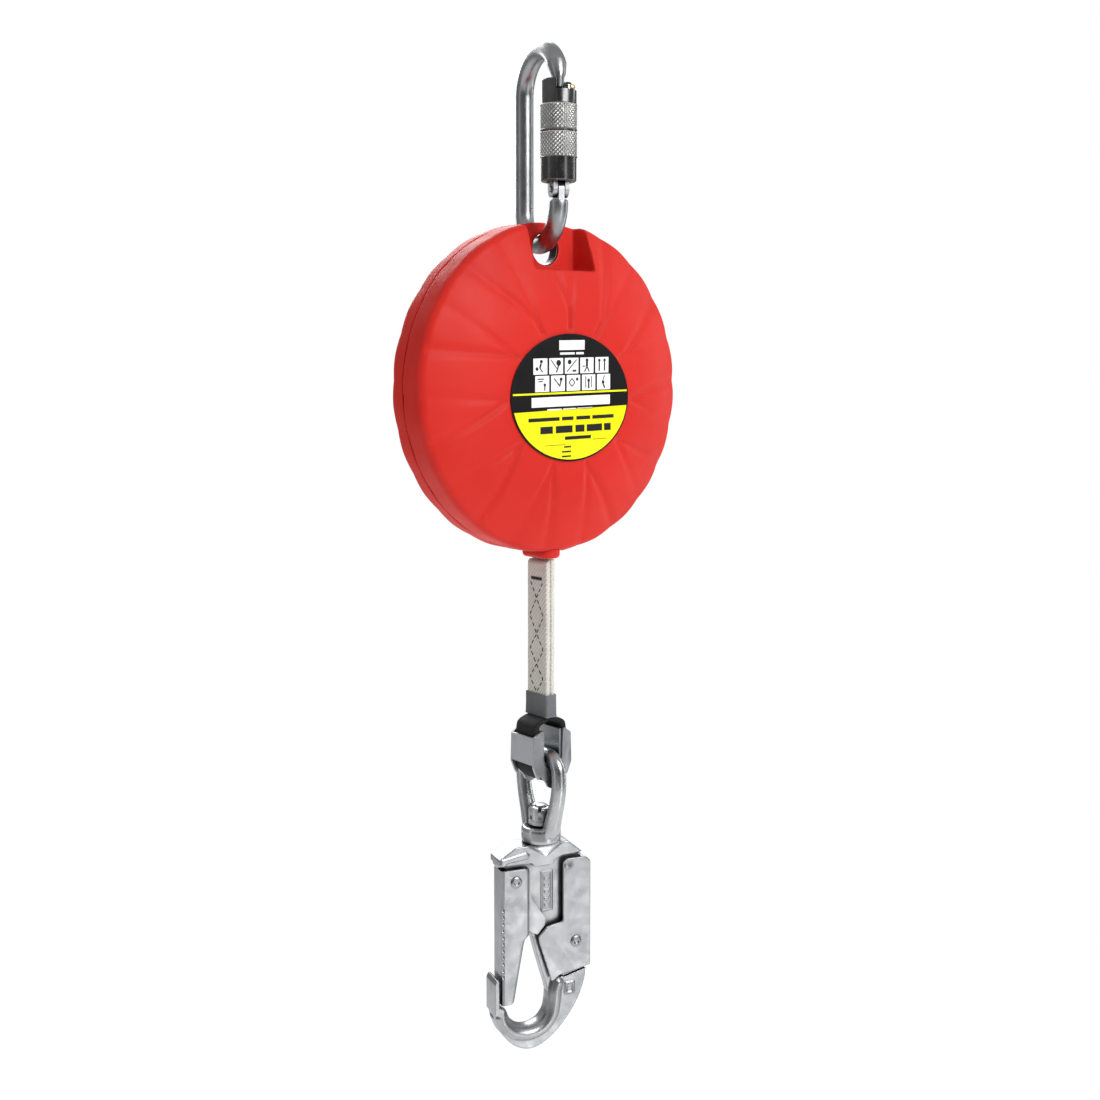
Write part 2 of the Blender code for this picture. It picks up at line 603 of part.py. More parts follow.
# ---------------------------------------------------------------- drum, brake and spring
def make_mechanism(housing, drum, carrier):
    z = HOUSING_Z
    add_object("main_shaft", rod_y(SHAFT_R, -21.0, 16.9, 0, z, 24), "steel", housing)
    add_object("spring_cup", turned_y(
        [(5.3, -20.0), (39.2, -20.0), (39.2, -13.3), (43.0, -13.3), (43.0, -12.5),
         (38.0, -12.5), (38.0, -19.2), (5.3, -19.2)], 0, z, 28), "dark_steel", housing)
    add_object("power_spring", spring_mesh(), "dark_steel", housing)
    add_object("ratchet_ring", ratchet_mesh(), "dark_steel", housing)

    add_object("webbing_drum", turned_y(
        [(9.3, -2.0), (19.6, -2.0), (19.6, -9.9), (57.5, -9.9), (57.5, -8.9), (HUB_R, -8.9),
         (HUB_R, 8.9), (57.5, 8.9), (57.5, 9.9), (19.6, 9.9), (19.6, 2.0), (9.3, 2.0)],
        0, z, 28), "grey_plastic", drum)
    add_object("webbing_roll", ring_y(HUB_R + GAP, ROLL_R, -8.5, 8.5, 0, z, 28), "webbing", drum)
    add_object("spring_arbor", turned_y(
        [(5.4, -18.9), (8.2, -18.9), (8.2, -10.4), (19.2, -10.4), (19.2, -9.3), (5.4, -9.3)],
        0, z, 24), "steel", drum)

    add_object("brake_hub", turned_y(
        [(6.6, -8.9), (8.7, -8.9), (8.7, 3.9), (18.0, 3.9), (18.0, 6.0), (8.7, 6.0),
         (8.7, 16.0), (6.6, 16.0)], 0, z, 24), "steel", carrier)
    add_object("bearing_bush", ring_y(5.3, 6.3, -8.9, 16.0, 0, z, 20), "brass", carrier)
    add_object("front_friction_lining", ring_y(9.3, 18.5, -3.5, -2.3, 0, z, 28), "lining", drum)
    add_object("rear_friction_lining", ring_y(9.3, 18.5, 2.3, 3.5, 0, z, 28), "lining", drum)
    add_object("pressure_plate", ring_y(9.1, 18.5, -5.3, -3.9, 0, z, 28), "steel", carrier)
    add_object("disc_spring_washer", turned_y(
        [(9.1, -6.9), (15.0, -6.2), (15.0, -5.6), (9.1, -6.3)], 0, z, 28), "steel", carrier)
    add_object("brake_nut", ring_slab(hexagon(0, z, 11.0), circle(0, z, 9.0, 24), -8.9, -7.2),
               "steel", carrier)
    add_object("pawl_carrier", ring_y(9.0, 20.5, 12.6, 13.6, 0, z, 28), "steel", carrier)


def spring_mesh():
    """Flat spiral spring between the arbor and the cup wall."""
    turns, steps, inner, outer, thick = 5, 15, 8.9, 36.9, 0.9
    rings = []
    for i in range(turns * steps + 1):
        a = tau * i / steps
        r = inner + (outer - inner) * i / (turns * steps)
        rings.append([((r + dr) * cos(a), y, HOUSING_Z + (r + dr) * sin(a))
                      for dr, y in ((0, -18.9), (thick * 0.85, -18.9),
                                    (thick * 0.85, -13.5), (0, -13.5))])
    return loft(rings)


def ratchet_mesh():
    """Fixed ring with inward saw teeth; each tooth rises clockwise as seen from the label."""
    inner, outer = [], []
    for k in range(TEETH):
        face = TOOTH_PHASE + tau * k / TEETH
        for part, r in ((0.0, 24.3), (0.03, 27.6), (0.25, 27.6), (0.62, 26.0)):
            a = face + tau / TEETH * part
            inner.append((r * cos(a), HOUSING_Z + r * sin(a)))
            outer.append((32.0 * cos(a), HOUSING_Z + 32.0 * sin(a)))
    return ring_slab(outer, inner, 12.5, 16.0)


def pawl_points(pivot_angle):
    """A pawl that trails from its pin to a leading tip, drawn in the parked position."""
    px, pz = 14.6 * cos(pivot_angle), 14.6 * sin(pivot_angle)
    tip = pivot_angle - radians(52)
    shape = [(23.2, tip), (22.6, tip + radians(14)), (19.4, pivot_angle - radians(4))]
    heel = [(px + 3.6 * cos(pivot_angle + radians(d)), pz + 3.6 * sin(pivot_angle + radians(d)))
            for d in (10, 50, 90, 130, 170)]
    back = [(13.2, pivot_angle - radians(18)), (19.0, tip + radians(8)), (21.2, tip)]
    outline = [(r * cos(a), r * sin(a)) for r, a in shape] + heel
    outline += [(r * cos(a), r * sin(a)) for r, a in back]
    return [(x, HOUSING_Z + z) for x, z in outline], (px, HOUSING_Z + pz)


def make_pawl(name, angle, carrier):
    outline, (px, pz) = pawl_points(angle)
    pivot = add_pivot(name + "_pivot", px, 0, pz, carrier)
    pawl = add_object(name, slab(outline, 13.9, 15.9), "steel", pivot)
    hole = rod_y(1.8, 10, 20, px, pz, 12)
    boolean(pawl, add_cutter(name + "_hole", hole, pivot), "DIFFERENCE")
    add_object(name + "_pin", rod_y(1.5, 13.9, 16.0, px, pz, 12), "steel", carrier)


# ---------------------------------------------------------------- lifeline end
def make_lifeline(line):
    x = BAR_X - BAR_R - GAP - WEB_T / 2
    add_object("webbing_run", box(x - WEB_T / 2, x + WEB_T / 2, -WEB_W / 2, WEB_W / 2,
                                  STRAP_TOP + GAP, HOUSING_Z - 84.3), "webbing", line)
    half = STRAP_T / 2
    outline = [(-half, STRAP_BOTTOM), (half, STRAP_BOTTOM), (half, STRAP_TOP),
               (0.2, STRAP_TOP), (-1.6, STRAP_TOP - 0.5), (-half, STRAP_TOP - 2.2)]
    add_object("sewn_strap", slab(outline, -WEB_W / 2, WEB_W / 2), "webbing", line)
    sleeve = [[(sx * (half + GAP + t), sy * (WEB_W / 2 + GAP + t), z)
               for sx, sy in ((-1, -1), (1, -1), (1, 1), (-1, 1))]
              for t, z in ((0.8, BAND_TOP), (0.8, STRAP_BOTTOM), (0, STRAP_BOTTOM), (0, BAND_TOP))]
    add_object("shrink_band", loft(sleeve, closed=True), "grey_plastic", line)
    add_object("wear_sleeve_loop", loop_mesh(), "black", line)
    make_thimble(line)


def teardrop(radius, shoulder, steps=12):
    """Loop outline round the eye bar; shoulder points run from the top to the right leg."""
    side = shoulder + [(radius, shoulder[-1][1] - 6.0)]
    under = arc(0, EYE_AXIS_Z - 2.6, radius, 0, -180, steps)
    return side + under + [(-x, z) for x, z in reversed(side)]


def loop_mesh():
    """The webbing loop in its black sleeve: two legs that join round the saddle."""
    top = STRAP_BOTTOM - GAP
    outer = teardrop(11.1, [(3.6, top), (9.3, top - 2.0), (11.1, top - 5.2)])
    inner = teardrop(6.9, [(0.3, top - 1.4), (5.6, top - 3.4), (6.9, top - 5.6)])
    return ring_slab(outer, inner, -8.2, 8.2)


def make_thimble(line):
    """Sheet-metal thimble: saddle, two U walls and a cover plate outside each leg."""
    z = EYE_AXIS_Z
    saddle_out = arc(0, z - 2.6, 6.6, 0, -180, 12)
    saddle_in = arc(0, z, 5.1, 0, -180, 12)
    top = z + 14.0
    outline = [(6.6, top), *saddle_out, (-6.6, top), (-5.1, top), *reversed(saddle_in), (5.1, top)]
    thimble = add_object("thimble", slab(outline, -8.9, 8.9), "satin", line)
    for sign, name in ((-1, "front"), (1, "rear")):
        y0, y1 = sorted((sign * 8.5, sign * 9.8))
        wall = [(6.8, z + 15.5), (12.4, z + 11.5), (12.9, z - 4.0), (9.0, z - 13.0)]
        wall += arc(0, z - 12.4, 4.4, -10, -170, 8)
        wall += [(-9.0, z - 13.0), (-12.9, z - 4.0), (-12.4, z + 11.5), (-6.8, z + 15.5)]
        wall += arc(0, z, 6.5, 180, 360, 12)
        bm = slab(wall, y0, y1)
        boolean(thimble, add_cutter(f"thimble_{name}_wall", bm, line), "UNION")
    for sign, name in ((-1, "left"), (1, "right")):
        cover = [(sign * 11.4, z + 11.7), (sign * 12.6, z + 11.6), (sign * 12.8, z - 3.0),
                 (sign * 11.5, z - 3.0)]
        bm = slab(cover, -9.4, 9.4)
        boolean(thimble, add_cutter(f"thimble_{name}_cover", bm, line), "UNION")


# ---------------------------------------------------------------- swivel eye
def make_swivel(eye, hook):
    z = EYE_AXIS_Z
    half_path = [(0.0, z), (5.6, z)]
    half_path += [(5.8 + 9.0 * sin(radians(a)), z - 9.0 + 9.0 * cos(radians(a)))
                  for a in (22, 45, 68, 90)]
    half_path += [(EYE_HALF, z - 16.0), (13.4, z - 24.0), (10.9, z - 32.0), (8.9, z - 38.5),
                  (7.4, COLLAR_BOTTOM + 5.5)]
    path = [(-y, h) for y, h in reversed(half_path[1:])] + half_path
    radii = [EYE_ROD_R] * len(path)
    ring = add_object("swivel_eye", sweep_yz(path, radii), "steel", eye)
    collar = turned_z([(3.9, COLLAR_BOTTOM), (9.4, COLLAR_BOTTOM), (COLLAR_R, COLLAR_BOTTOM + 1.4),
                       (COLLAR_R, COLLAR_TOP - 1.2), (9.6, COLLAR_TOP), (3.9, COLLAR_TOP)], steps=20)
    boolean(ring, add_cutter("eye_collar", collar, eye), "UNION")
    inside = rod_z([(3.9, COLLAR_BOTTOM - 2), (3.9, COLLAR_TOP + 0.1), (7.4, COLLAR_TOP + 0.1),
                    (7.4, COLLAR_TOP + 12.5)], steps=20)
    boolean(ring, add_cutter("eye_nut_room", inside, eye), "DIFFERENCE")

    add_object("swivel_stud", rod_z([(3.5, HOOK_TOP - 8.0), (3.5, COLLAR_TOP + 10.6),
                                     (2.9, COLLAR_TOP + 11.2)]), "steel", hook)
    nut = turned_z([(3.8, COLLAR_TOP + 0.5), (6.8, COLLAR_TOP + 0.5), (6.8, COLLAR_TOP + 9.4),
                    (6.0, COLLAR_TOP + 10.2), (3.8, COLLAR_TOP + 10.2)], steps=20)
    stud_nut = add_object("stud_nut", nut, "steel", hook)
    cross = rod_x(1.1, -9, 9, 0, COLLAR_TOP + 5.0, 12)
    boolean(stud_nut, add_cutter("nut_cross_hole", cross, hook), "DIFFERENCE")
    stud = bpy.data.objects["swivel_stud"]
    boolean(stud, add_cutter("stud_cross_hole", rod_x(1.1, -9, 9, 0, COLLAR_TOP + 5.0, 12), hook),
            "DIFFERENCE")
    add_object("nut_cross_pin", rod_x(0.8, -6.9, 6.9, 0, COLLAR_TOP + 5.0, 10), "steel", hook)


# ---------------------------------------------------------------- snap hook
def hook_plate():
    """Web of the hook, from its head down the right arm and round the bowl to the nose."""
    outline = [(-26.5, -413.5), (-17.0, HOOK_TOP), (13.0, HOOK_TOP), (22.5, -415.5),
               (15.5, -419.0), (15.5, -448.0), (22.0, -458.0), (24.0, -470.0), (24.4, -480.0)]
    outline += bowl_outside()[1:]
    outline += bowl_inside()
    outline += [(1.9, -487.0), (-3.4, -469.5), (-6.3, -458.4), (-7.7, -456.0), (-7.7, -436.0),
                (-10.5, -431.0), (-15.0, -431.5), (-19.0, -430.8), (-21.6, -428.0),
                (-22.0, -419.5), (-26.5, -418.0)]
    return outline


def bowl_outside():
    return [(24.4, -480.0), (23.3, -487.0), (19.5, -496.5), (13.0, -506.0), (4.0, -514.7),
            (-6.3, -519.3), (-15.5, -517.2), (-22.5, -511.0), (-27.2, -503.0), (-29.1, -495.0),
            (-29.1, -480.0), (-27.9, -477.6), (-26.4, -478.4)]


def bowl_inside():
    return [(-26.2, -493.2), (-21.4, -494.9), (-18.6, -501.5), (-13.7, -505.7), (-8.0, -506.8),
            (-2.6, -505.2), (0.9, -501.0), (2.0, -496.0)]


def make_hook(hook, gate, lever):
    body = add_object("hook_body", slab(hook_plate(), -PLATE_HALF, PLATE_HALF), "steel", hook)
    bowl = bowl_outside() + bowl_inside() + [(1.9, -490.4), (8.5, -487.0), (12.0, -485.4)]
    boolean(body, add_cutter("hook_bowl", slab(bowl, -RIM_HALF, RIM_HALF), hook), "UNION")
    head = [(-26.5, -413.5), (-17.0, HOOK_TOP), (13.0, HOOK_TOP), (21.5, -414.6),
            (9.0, -415.2), (5.2, -417.0), (4.4, -419.4), (-6.4, -419.4), (-8.0, -417.3),
            (-26.5, -416.8)]
    boolean(body, add_cutter("hook_head", slab(head, -RIM_HALF, RIM_HALF), hook), "UNION")
    stud_hole = rod_z([(3.8, HOOK_TOP - 8.4), (3.8, HOOK_TOP + 4)])
    boolean(body, add_cutter("hook_stud_hole", stud_hole, hook), "DIFFERENCE")
    for name, (x, z) in (("gate", GATE_PIVOT), ("lever", LEVER_PIVOT)):
        hole = rod_y(2.1, -9, 9, x, z, 14)
        boolean(body, add_cutter(f"hook_{name}_rivet_hole", hole, hook), "DIFFERENCE")

    for sign, side in ((-1, "front"), (1, "rear")):
        y0, y1 = sorted((sign * 5.0, sign * RIM_HALF))
        cheek = [(-24.6, -421.5), (-23.4, -419.6), (-9.4, -419.6), (-8.6, -421.0),
                 (-8.6, -456.0), (-11.4, -458.6), (-17.4, -491.4), (-24.9, -492.6)]
        piece = slab(cheek, y0, y1)
        if side == "front":
            gate_obj = add_object("hook_gate", piece, "steel", gate)
        else:
            boolean(gate_obj, add_cutter("gate_rear_cheek", piece, gate), "UNION")
        heel = [(-9.6, -430.0), (-7.6, -437.0), (0.3, -448.4), (0.1, -452.6), (-4.2, -457.0),
                (-9.6, -454.0)]
        y0, y1 = sorted((sign * 3.4, sign * 5.2))
        boolean(gate_obj, add_cutter(f"gate_{side}_heel", slab(heel, y0, y1), gate), "UNION")
    web = slab([(-24.9, -421.6), (-23.4, -421.6), (-23.4, -492.3), (-24.9, -492.5)],
               -RIM_HALF + 0.2, RIM_HALF - 0.2)
    boolean(gate_obj, add_cutter("gate_web", web, gate), "UNION")
    tip = slab([(-24.9, -481.0), (-18.6, -481.0), (-17.8, -491.3), (-24.9, -492.4)], -5.4, 5.4)
    boolean(gate_obj, add_cutter("gate_tip_block", tip, gate), "UNION")
    hole = rod_y(2.1, -9, 9, *GATE_PIVOT, 14)
    boolean(gate_obj, add_cutter("gate_rivet_hole", hole, gate), "DIFFERENCE")

    for sign, side in ((-1, "front"), (1, "rear")):
        y0, y1 = sorted((sign * 5.5, sign * 6.9))
        cheek = [(10.0, -419.0), (11.4, -417.4), (23.4, -417.4), (25.4, -420.0), (25.4, -478.0),
                 (8.3, -481.0), (3.9, -484.2), (-3.6, -461.0), (-4.0, -457.8), (0.3, -453.2),
                 (10.0, -451.4)]
        piece = slab(cheek, y0, y1)
        if side == "front":
            lever_obj = add_object("safety_lever", piece, "steel", lever)
        else:
            boolean(lever_obj, add_cutter("lever_rear_cheek", piece, lever), "UNION")
    web = slab([(24.6, -420.4), (26.2, -420.4), (26.2, -477.6), (24.7, -477.6)], -6.6, 6.6)
    boolean(lever_obj, add_cutter("lever_web", web, lever), "UNION")
    hole = rod_y(2.1, -9, 9, *LEVER_PIVOT, 14)
    boolean(lever_obj, add_cutter("lever_rivet_hole", hole, lever), "DIFFERENCE")
    for name, (x, z), reach in (("hook_gate_rivet", GATE_PIVOT, 6.8),
                                ("safety_lever_rivet", LEVER_PIVOT, 7.2)):
        rings = [[(x + r * cos(tau * k / 14), y, z + r * sin(tau * k / 14)) for k in range(14)]
                 for r, y in ((3.0, -reach - 0.6), (3.2, -reach), (1.8, -reach), (1.8, reach),
                              (3.2, reach), (3.0, reach + 0.6))]
        add_object(name, loft(rings), "steel", hook)
    for name, (x, z) in (("hook_gate_spring", GATE_PIVOT), ("safety_lever_spring", LEVER_PIVOT)):
        add_object(name, coil_mesh(x, z), "dark_steel", hook)


def coil_mesh(x, z):
    """Torsion spring round a rivet, between the hook's web and the front cheek."""
    wire, coil, turns, steps, sides = 0.35, 3.2, 1.6, 10, 4
    rings = []
    for i in range(int(turns * steps) + 1):
        a = tau * i / steps
        y = -3.75 - 0.85 * i / (turns * steps)
        rings.append([(x + (coil + wire * cos(tau * k / sides)) * cos(a),
                       y + wire * sin(tau * k / sides),
                       z + (coil + wire * cos(tau * k / sides)) * sin(a)) for k in range(sides)])
    return loft(rings)


# ---------------------------------------------------------------- assembly
def build():
    clear_scene()
    root = add_pivot("carabiner_group", 0, 0, 0, yaw=CARABINER_YAW)
    make_carabiner(root)
    housing = add_pivot("housing_pivot", 0, 0, BODY_BOTTOM)
    drum = add_pivot("drum_pivot", 0, 0, HOUSING_Z, housing)
    carrier = add_pivot("carrier_pivot", 0, 0, HOUSING_Z, drum)
    make_housing(housing)
    make_mechanism(housing, drum, carrier)
    make_pawl("pawl_a", radians(70), carrier)
    make_pawl("pawl_b", radians(250), carrier)
    line = add_pivot("lifeline_pivot", 0, 0, STRAP_TOP, housing)
    make_lifeline(line)
    eye = add_pivot("eye_pivot", 0, 0, EYE_AXIS_Z, line)
    hook = add_pivot("hook_swivel_pivot", 0, 0, COLLAR_BOTTOM, eye, yaw=HOOK_YAW)
    gate = add_pivot("hook_gate_pivot", GATE_PIVOT[0], 0, GATE_PIVOT[1], hook)
    lever = add_pivot("safety_lever_pivot", LEVER_PIVOT[0], 0, LEVER_PIVOT[1], hook)
    make_swivel(eye, hook)
    make_hook(hook, gate, lever)


build()
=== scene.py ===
"""Looks of the self retracting lifeline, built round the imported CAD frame.

Shapes are written in millimetres in the row frame and scaled once, when a piece is made.  The
carabiner and the hook are drawn in their own upright planes and turned by CARABINER and HOOK.
"""

import json
from math import atan2, cos, exp, floor, hypot, pi, radians, sin, sqrt, tau

import bmesh
import bpy
from mathutils import Matrix, Vector, noise


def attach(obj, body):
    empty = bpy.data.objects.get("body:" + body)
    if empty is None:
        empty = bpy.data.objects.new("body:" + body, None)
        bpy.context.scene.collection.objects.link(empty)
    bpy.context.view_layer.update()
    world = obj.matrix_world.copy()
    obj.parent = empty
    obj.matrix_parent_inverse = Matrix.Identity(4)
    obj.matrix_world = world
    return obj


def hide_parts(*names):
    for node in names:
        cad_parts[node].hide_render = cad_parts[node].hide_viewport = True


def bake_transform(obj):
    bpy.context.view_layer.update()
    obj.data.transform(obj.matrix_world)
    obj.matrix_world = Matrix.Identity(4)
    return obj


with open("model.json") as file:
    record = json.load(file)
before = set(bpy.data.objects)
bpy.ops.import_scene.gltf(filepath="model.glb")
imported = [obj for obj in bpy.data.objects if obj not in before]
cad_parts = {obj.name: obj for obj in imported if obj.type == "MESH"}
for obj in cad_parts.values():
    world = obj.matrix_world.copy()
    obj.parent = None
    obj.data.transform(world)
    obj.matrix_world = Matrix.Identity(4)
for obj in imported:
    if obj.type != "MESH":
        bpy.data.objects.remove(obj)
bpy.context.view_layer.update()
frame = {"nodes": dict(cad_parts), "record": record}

MM = 0.001
UPRIGHT = Matrix.Identity(4)
CARABINER = Matrix.Rotation(radians(-18.6), 4, "Z")
HOOK = Matrix.Rotation(radians(-16.0), 4, "Z")


# ---------------------------------------------------------------- materials
# Reach of the painted shade that darkens colours in gaps and corners.
PAINTED_SHADE_REACH = 0.004  # metres


class Nodes:
    """Makes and feeds the nodes of one shader tree."""

    def __init__(self, tree):
        self.tree = tree

    def node(self, kind, inputs=(), **settings):
        """A new node with its settings, and with its inputs fed by name or number."""
        made = self.tree.nodes.new("ShaderNode" + kind)
        for key, value in settings.items():
            setattr(made, key, value)
        for key, value in dict(inputs).items():
            self.feed(value, made.inputs[key])
        return made

    def feed(self, value, target):
        """Give a socket another node's output, a colour, a vector or a number."""
        if isinstance(value, bpy.types.NodeSocket):
            self.tree.links.new(value, target)
        elif isinstance(value, tuple):
            target.default_value = (*value, 1.0)[:len(target.default_value)]
        else:
            target.default_value = value

    def ramp(self, factor, *stops):
        made = self.node("ValToRGB", {"Fac": factor})
        line = made.color_ramp.elements
        while len(line) < len(stops):
            line.new(0.5)
        for element, (place, colour) in zip(line, stops):
            element.position = place
            element.color = (*colour, 1.0)
        return made.outputs["Color"]

    def spread(self, factor, low, high, start=0.3, end=0.7):
        """Low to high as the factor runs from start to end."""
        return self.node("MapRange", {"Value": factor, "From Min": start, "From Max": end,
                                      "To Min": low, "To Max": high}).outputs["Result"]


class Shader(Nodes):
    """One procedural material: a Principled shader and the nodes that feed it."""

    def __init__(self, name, **sockets):
        self.mat = bpy.data.materials.new(name)
        self.mat.use_nodes = True
        super().__init__(self.mat.node_tree)
        self.out = self.tree.nodes["Principled BSDF"]
        self.coord = self.node("TexCoord").outputs["Object"]
        self.set(**sockets)

    def set(self, **sockets):
        """Feed the Principled shader; an underscore stands for a space in a socket's name."""
        for key, value in sockets.items():
            self.feed(value, self.out.inputs[key.replace("_", " ")])

    def math(self, operation, a, b=0.0):
        return self.node("Math", {0: a, 1: b}, operation=operation).outputs[0]

    def stretch(self, x, y, z):
        return self.node("Mapping", {"Vector": self.coord, "Scale": (x, y, z)}).outputs["Vector"]

    def noise(self, scale, detail=3.0, vector=None):
        return self.node("TexNoise", {"Vector": vector or self.coord, "Scale": scale,
                                      "Detail": detail, "Roughness": 0.55}).outputs["Fac"]

    def mix(self, factor, a, b):
        return self.node("Mix", {"Factor": factor, 6: a, 7: b}, data_type="RGBA").outputs[2]

    def bump(self, height, distance):
        """Adds a bump of that depth in metres on top of what is already there."""
        made = self.node("Bump", {"Height": height, "Distance": distance, "Strength": 1.0})
        under = self.out.inputs["Normal"]
        if under.is_linked:
            self.feed(under.links[0].from_socket, made.inputs["Normal"])
        self.feed(made.outputs["Normal"], under)

    def edge_tone_and_painted_shade(self, plain, edge, start=0.53, end=0.60):
        """Plain colour on flat and hollow faces, edge colour on convex edges; with a dark plain
        colour this is painted shade in the hollows.
        """
        point = self.node("NewGeometry").outputs["Pointiness"]
        return self.mix(self.spread(point, 0.0, 1.0, start, end), plain, edge)

    def with_painted_shade(self, colour, depth):
        """The colour with painted shade: darker by up to the depth in gaps and corners."""
        near = self.node("AmbientOcclusion", {"Distance": PAINTED_SHADE_REACH}, samples=6).outputs["AO"]
        fill = self.spread(near, 1.0 - depth, 1.0, 0.25, 0.9)
        return self.node("VectorMath", {0: colour, "Scale": fill},
                         operation="SCALE").outputs["Vector"]

    def gloss(self, scale, detail, rough):
        """Roughness that drifts a little about its level."""
        return self.spread(self.noise(scale, detail), rough - 0.06, rough + 0.08)


def brighter(colour, gain, lift=0.0):
    return tuple(min(1.0, c * gain + lift) for c in colour)


def moulded(name, low, high, rough, grain=0.00003, ior=1.45):
    """Moulded plastic: slow colour drift, lighter convex edges, painted shade in gaps and corners,
    fine skin texture and uneven gloss.
    """
    s = Shader(name, IOR=ior, Specular_IOR_Level=0.35)
    colour = s.ramp(s.noise(22), (0.3, low), (0.7, high))
    colour = s.edge_tone_and_painted_shade(colour, brighter(high, 1.12, 0.01))
    s.set(Base_Color=s.with_painted_shade(colour, 0.35), Roughness=s.gloss(60, 5, rough))
    s.bump(s.noise(1500, 2), grain)
    s.bump(s.noise(90, 2), grain * 1.5)
    return s.mat


def metal(name, dark, light, rough, grain, brush=(1, 1, 1), scale=90, pit=0.0, edge=None):
    """Plated or cast metal: cloudy tone, brushed or cast grain, brighter convex edges and painted
    shade in gaps and corners; with an edge range, painted shade in the grooves instead of brighter
    edges.
    """
    s = Shader(name, Metallic=1.0)
    colour = s.ramp(s.noise(scale, 5), (0.3, dark), (0.7, light))
    if edge:
        # With an edge range the dark colour fills the grooves as painted shade and only the convex
        # crests show the lighter tone.
        colour = s.edge_tone_and_painted_shade(dark, colour, *edge)
    else:
        colour = s.edge_tone_and_painted_shade(colour, brighter(light, 1.15))
    s.set(Base_Color=s.with_painted_shade(colour, 0.75), Roughness=s.gloss(scale * 2.5, 4, rough))
    s.bump(s.noise(900, 3, s.stretch(*brush)), grain)
    if pit:
        s.bump(s.noise(1900, 2), pit)
    return s.mat


def woven(name, low, high, across, along, depth, sheen, soil):
    """Woven webbing: yarns along Z crossed by picks, with fuzz, soil, uneven dye, and painted shade
    that darkens the dips of the weave.
    """
    s = Shader(name, Roughness=0.85, Sheen_Weight=sheen, Sheen_Roughness=0.5)
    x, y, z = s.node("SeparateXYZ", {0: s.coord}).outputs
    wide = s.math("ADD", y, x)
    warp = s.math("SINE", s.math("MULTIPLY", wide, tau / across))
    row = s.math("SINE", s.math("MULTIPLY", z, tau / along))
    slant = s.math("SINE", s.math("ADD", s.math("MULTIPLY", wide, pi / across),
                                  s.math("MULTIPLY", z, pi / along)))
    cell = s.math("ADD", s.math("MULTIPLY", warp, row), s.math("MULTIPLY", slant, 0.6))
    height = s.spread(cell, 0.0, 1.0, -1.4, 1.4)
    fuzz, dye = s.noise(2600, 3), s.noise(55, 4)
    # The colour runs from the low colour in the dips to the high colour on the yarn tops: painted
    # shade in the weave.
    yarn = s.mix(s.spread(height, 0.0, 1.0, 0.1, 0.8), low, high)
    s.set(Base_Color=s.mix(s.spread(dye, 0.0, 0.45, 0.45, 0.8), yarn, soil),
          Roughness=s.spread(fuzz, 0.75, 0.95))
    s.bump(height, depth)
    s.bump(fuzz, depth * 0.5)
    return s.mat


LOOKS = {
    "red": moulded("red_moulding", (0.65, 0.020, 0.013), (0.71, 0.026, 0.017), 0.50,
                   0.00003, 1.36),
    "bright": metal("bright_zinc", (0.28, 0.29, 0.30), (0.38, 0.39, 0.40), 0.32, 0.0000015,
                    (1, 1, 0.15)),
    # Knurled steel: its grooves take the dark colour as painted shade, and its crests the
    # near-white tone as painted highlight.
    "knurled": metal("knurled_steel", (0.30, 0.30, 0.30), (0.97, 0.96, 0.94), 0.27, 0.000002,
                     edge=(0.50, 0.535)),
    # The plain bands of the sleeve are the same steel, given a near-black copy as painted shade.
    "band": metal("polished_band_painted_shade", (0.09, 0.09, 0.092), (0.15, 0.15, 0.152), 0.24, 0.000002),
    "forged": metal("satin_forging", (0.42, 0.43, 0.44), (0.56, 0.57, 0.58), 0.28, 0.00002,
                    scale=60, pit=0.00001),
    "cast": metal("cast_hook", (0.35, 0.36, 0.37), (0.48, 0.49, 0.50), 0.34, 0.00002,
                  scale=70, pit=0.000025),
    "sheet": metal("sheet_thimble", (0.40, 0.42, 0.44), (0.52, 0.54, 0.56), 0.42, 0.000012,
                   (1, 1, 0.3)),
    "dark": metal("dark_steel", (0.16, 0.16, 0.17), (0.30, 0.30, 0.31), 0.38, 0.00001),
    "brass": metal("brass", (0.52, 0.38, 0.18), (0.72, 0.54, 0.27), 0.3, 0.000008),
    "cream": woven("cream_webbing", (0.52, 0.49, 0.44), (0.92, 0.88, 0.81), 0.0011, 0.0013,
                   0.00014, 0.25, (0.52, 0.49, 0.44)),
    "edge": woven("cream_selvedge", (0.66, 0.64, 0.59), (0.92, 0.89, 0.83), 0.0009, 0.0010,
                  0.00018, 0.3, (0.66, 0.63, 0.58)),
    "black": woven("black_webbing", (0.003, 0.003, 0.003), (0.014, 0.014, 0.014), 0.0012, 0.0012,
                   0.00018, 0.05, (0.006, 0.006, 0.006)),
    "thread": woven("black_thread", (0.006, 0.006, 0.006), (0.035, 0.035, 0.035), 0.0005, 0.0005,
                    0.00006, 0.2, (0.012, 0.012, 0.012)),
    "grey": moulded("grey_shrink_tube", (0.125, 0.13, 0.14), (0.19, 0.195, 0.205), 0.5, 0.00006),
    "plastic": moulded("grey_plastic", (0.22, 0.22, 0.22), (0.28, 0.28, 0.28), 0.5),
    "lining": moulded("friction_lining", (0.16, 0.11, 0.07), (0.26, 0.19, 0.13), 0.8, 0.0001),
    "label_black": moulded("label_black", (0.008, 0.008, 0.009), (0.012, 0.012, 0.013), 0.38,
                           0.000006, 1.3),
    "label_yellow": moulded("label_yellow", (0.93, 0.83, 0.004), (0.98, 0.90, 0.008), 0.32,
                            0.000006),
    "label_white": moulded("label_white", (0.82, 0.82, 0.80), (0.90, 0.90, 0.88), 0.32,
                           0.000006),
}


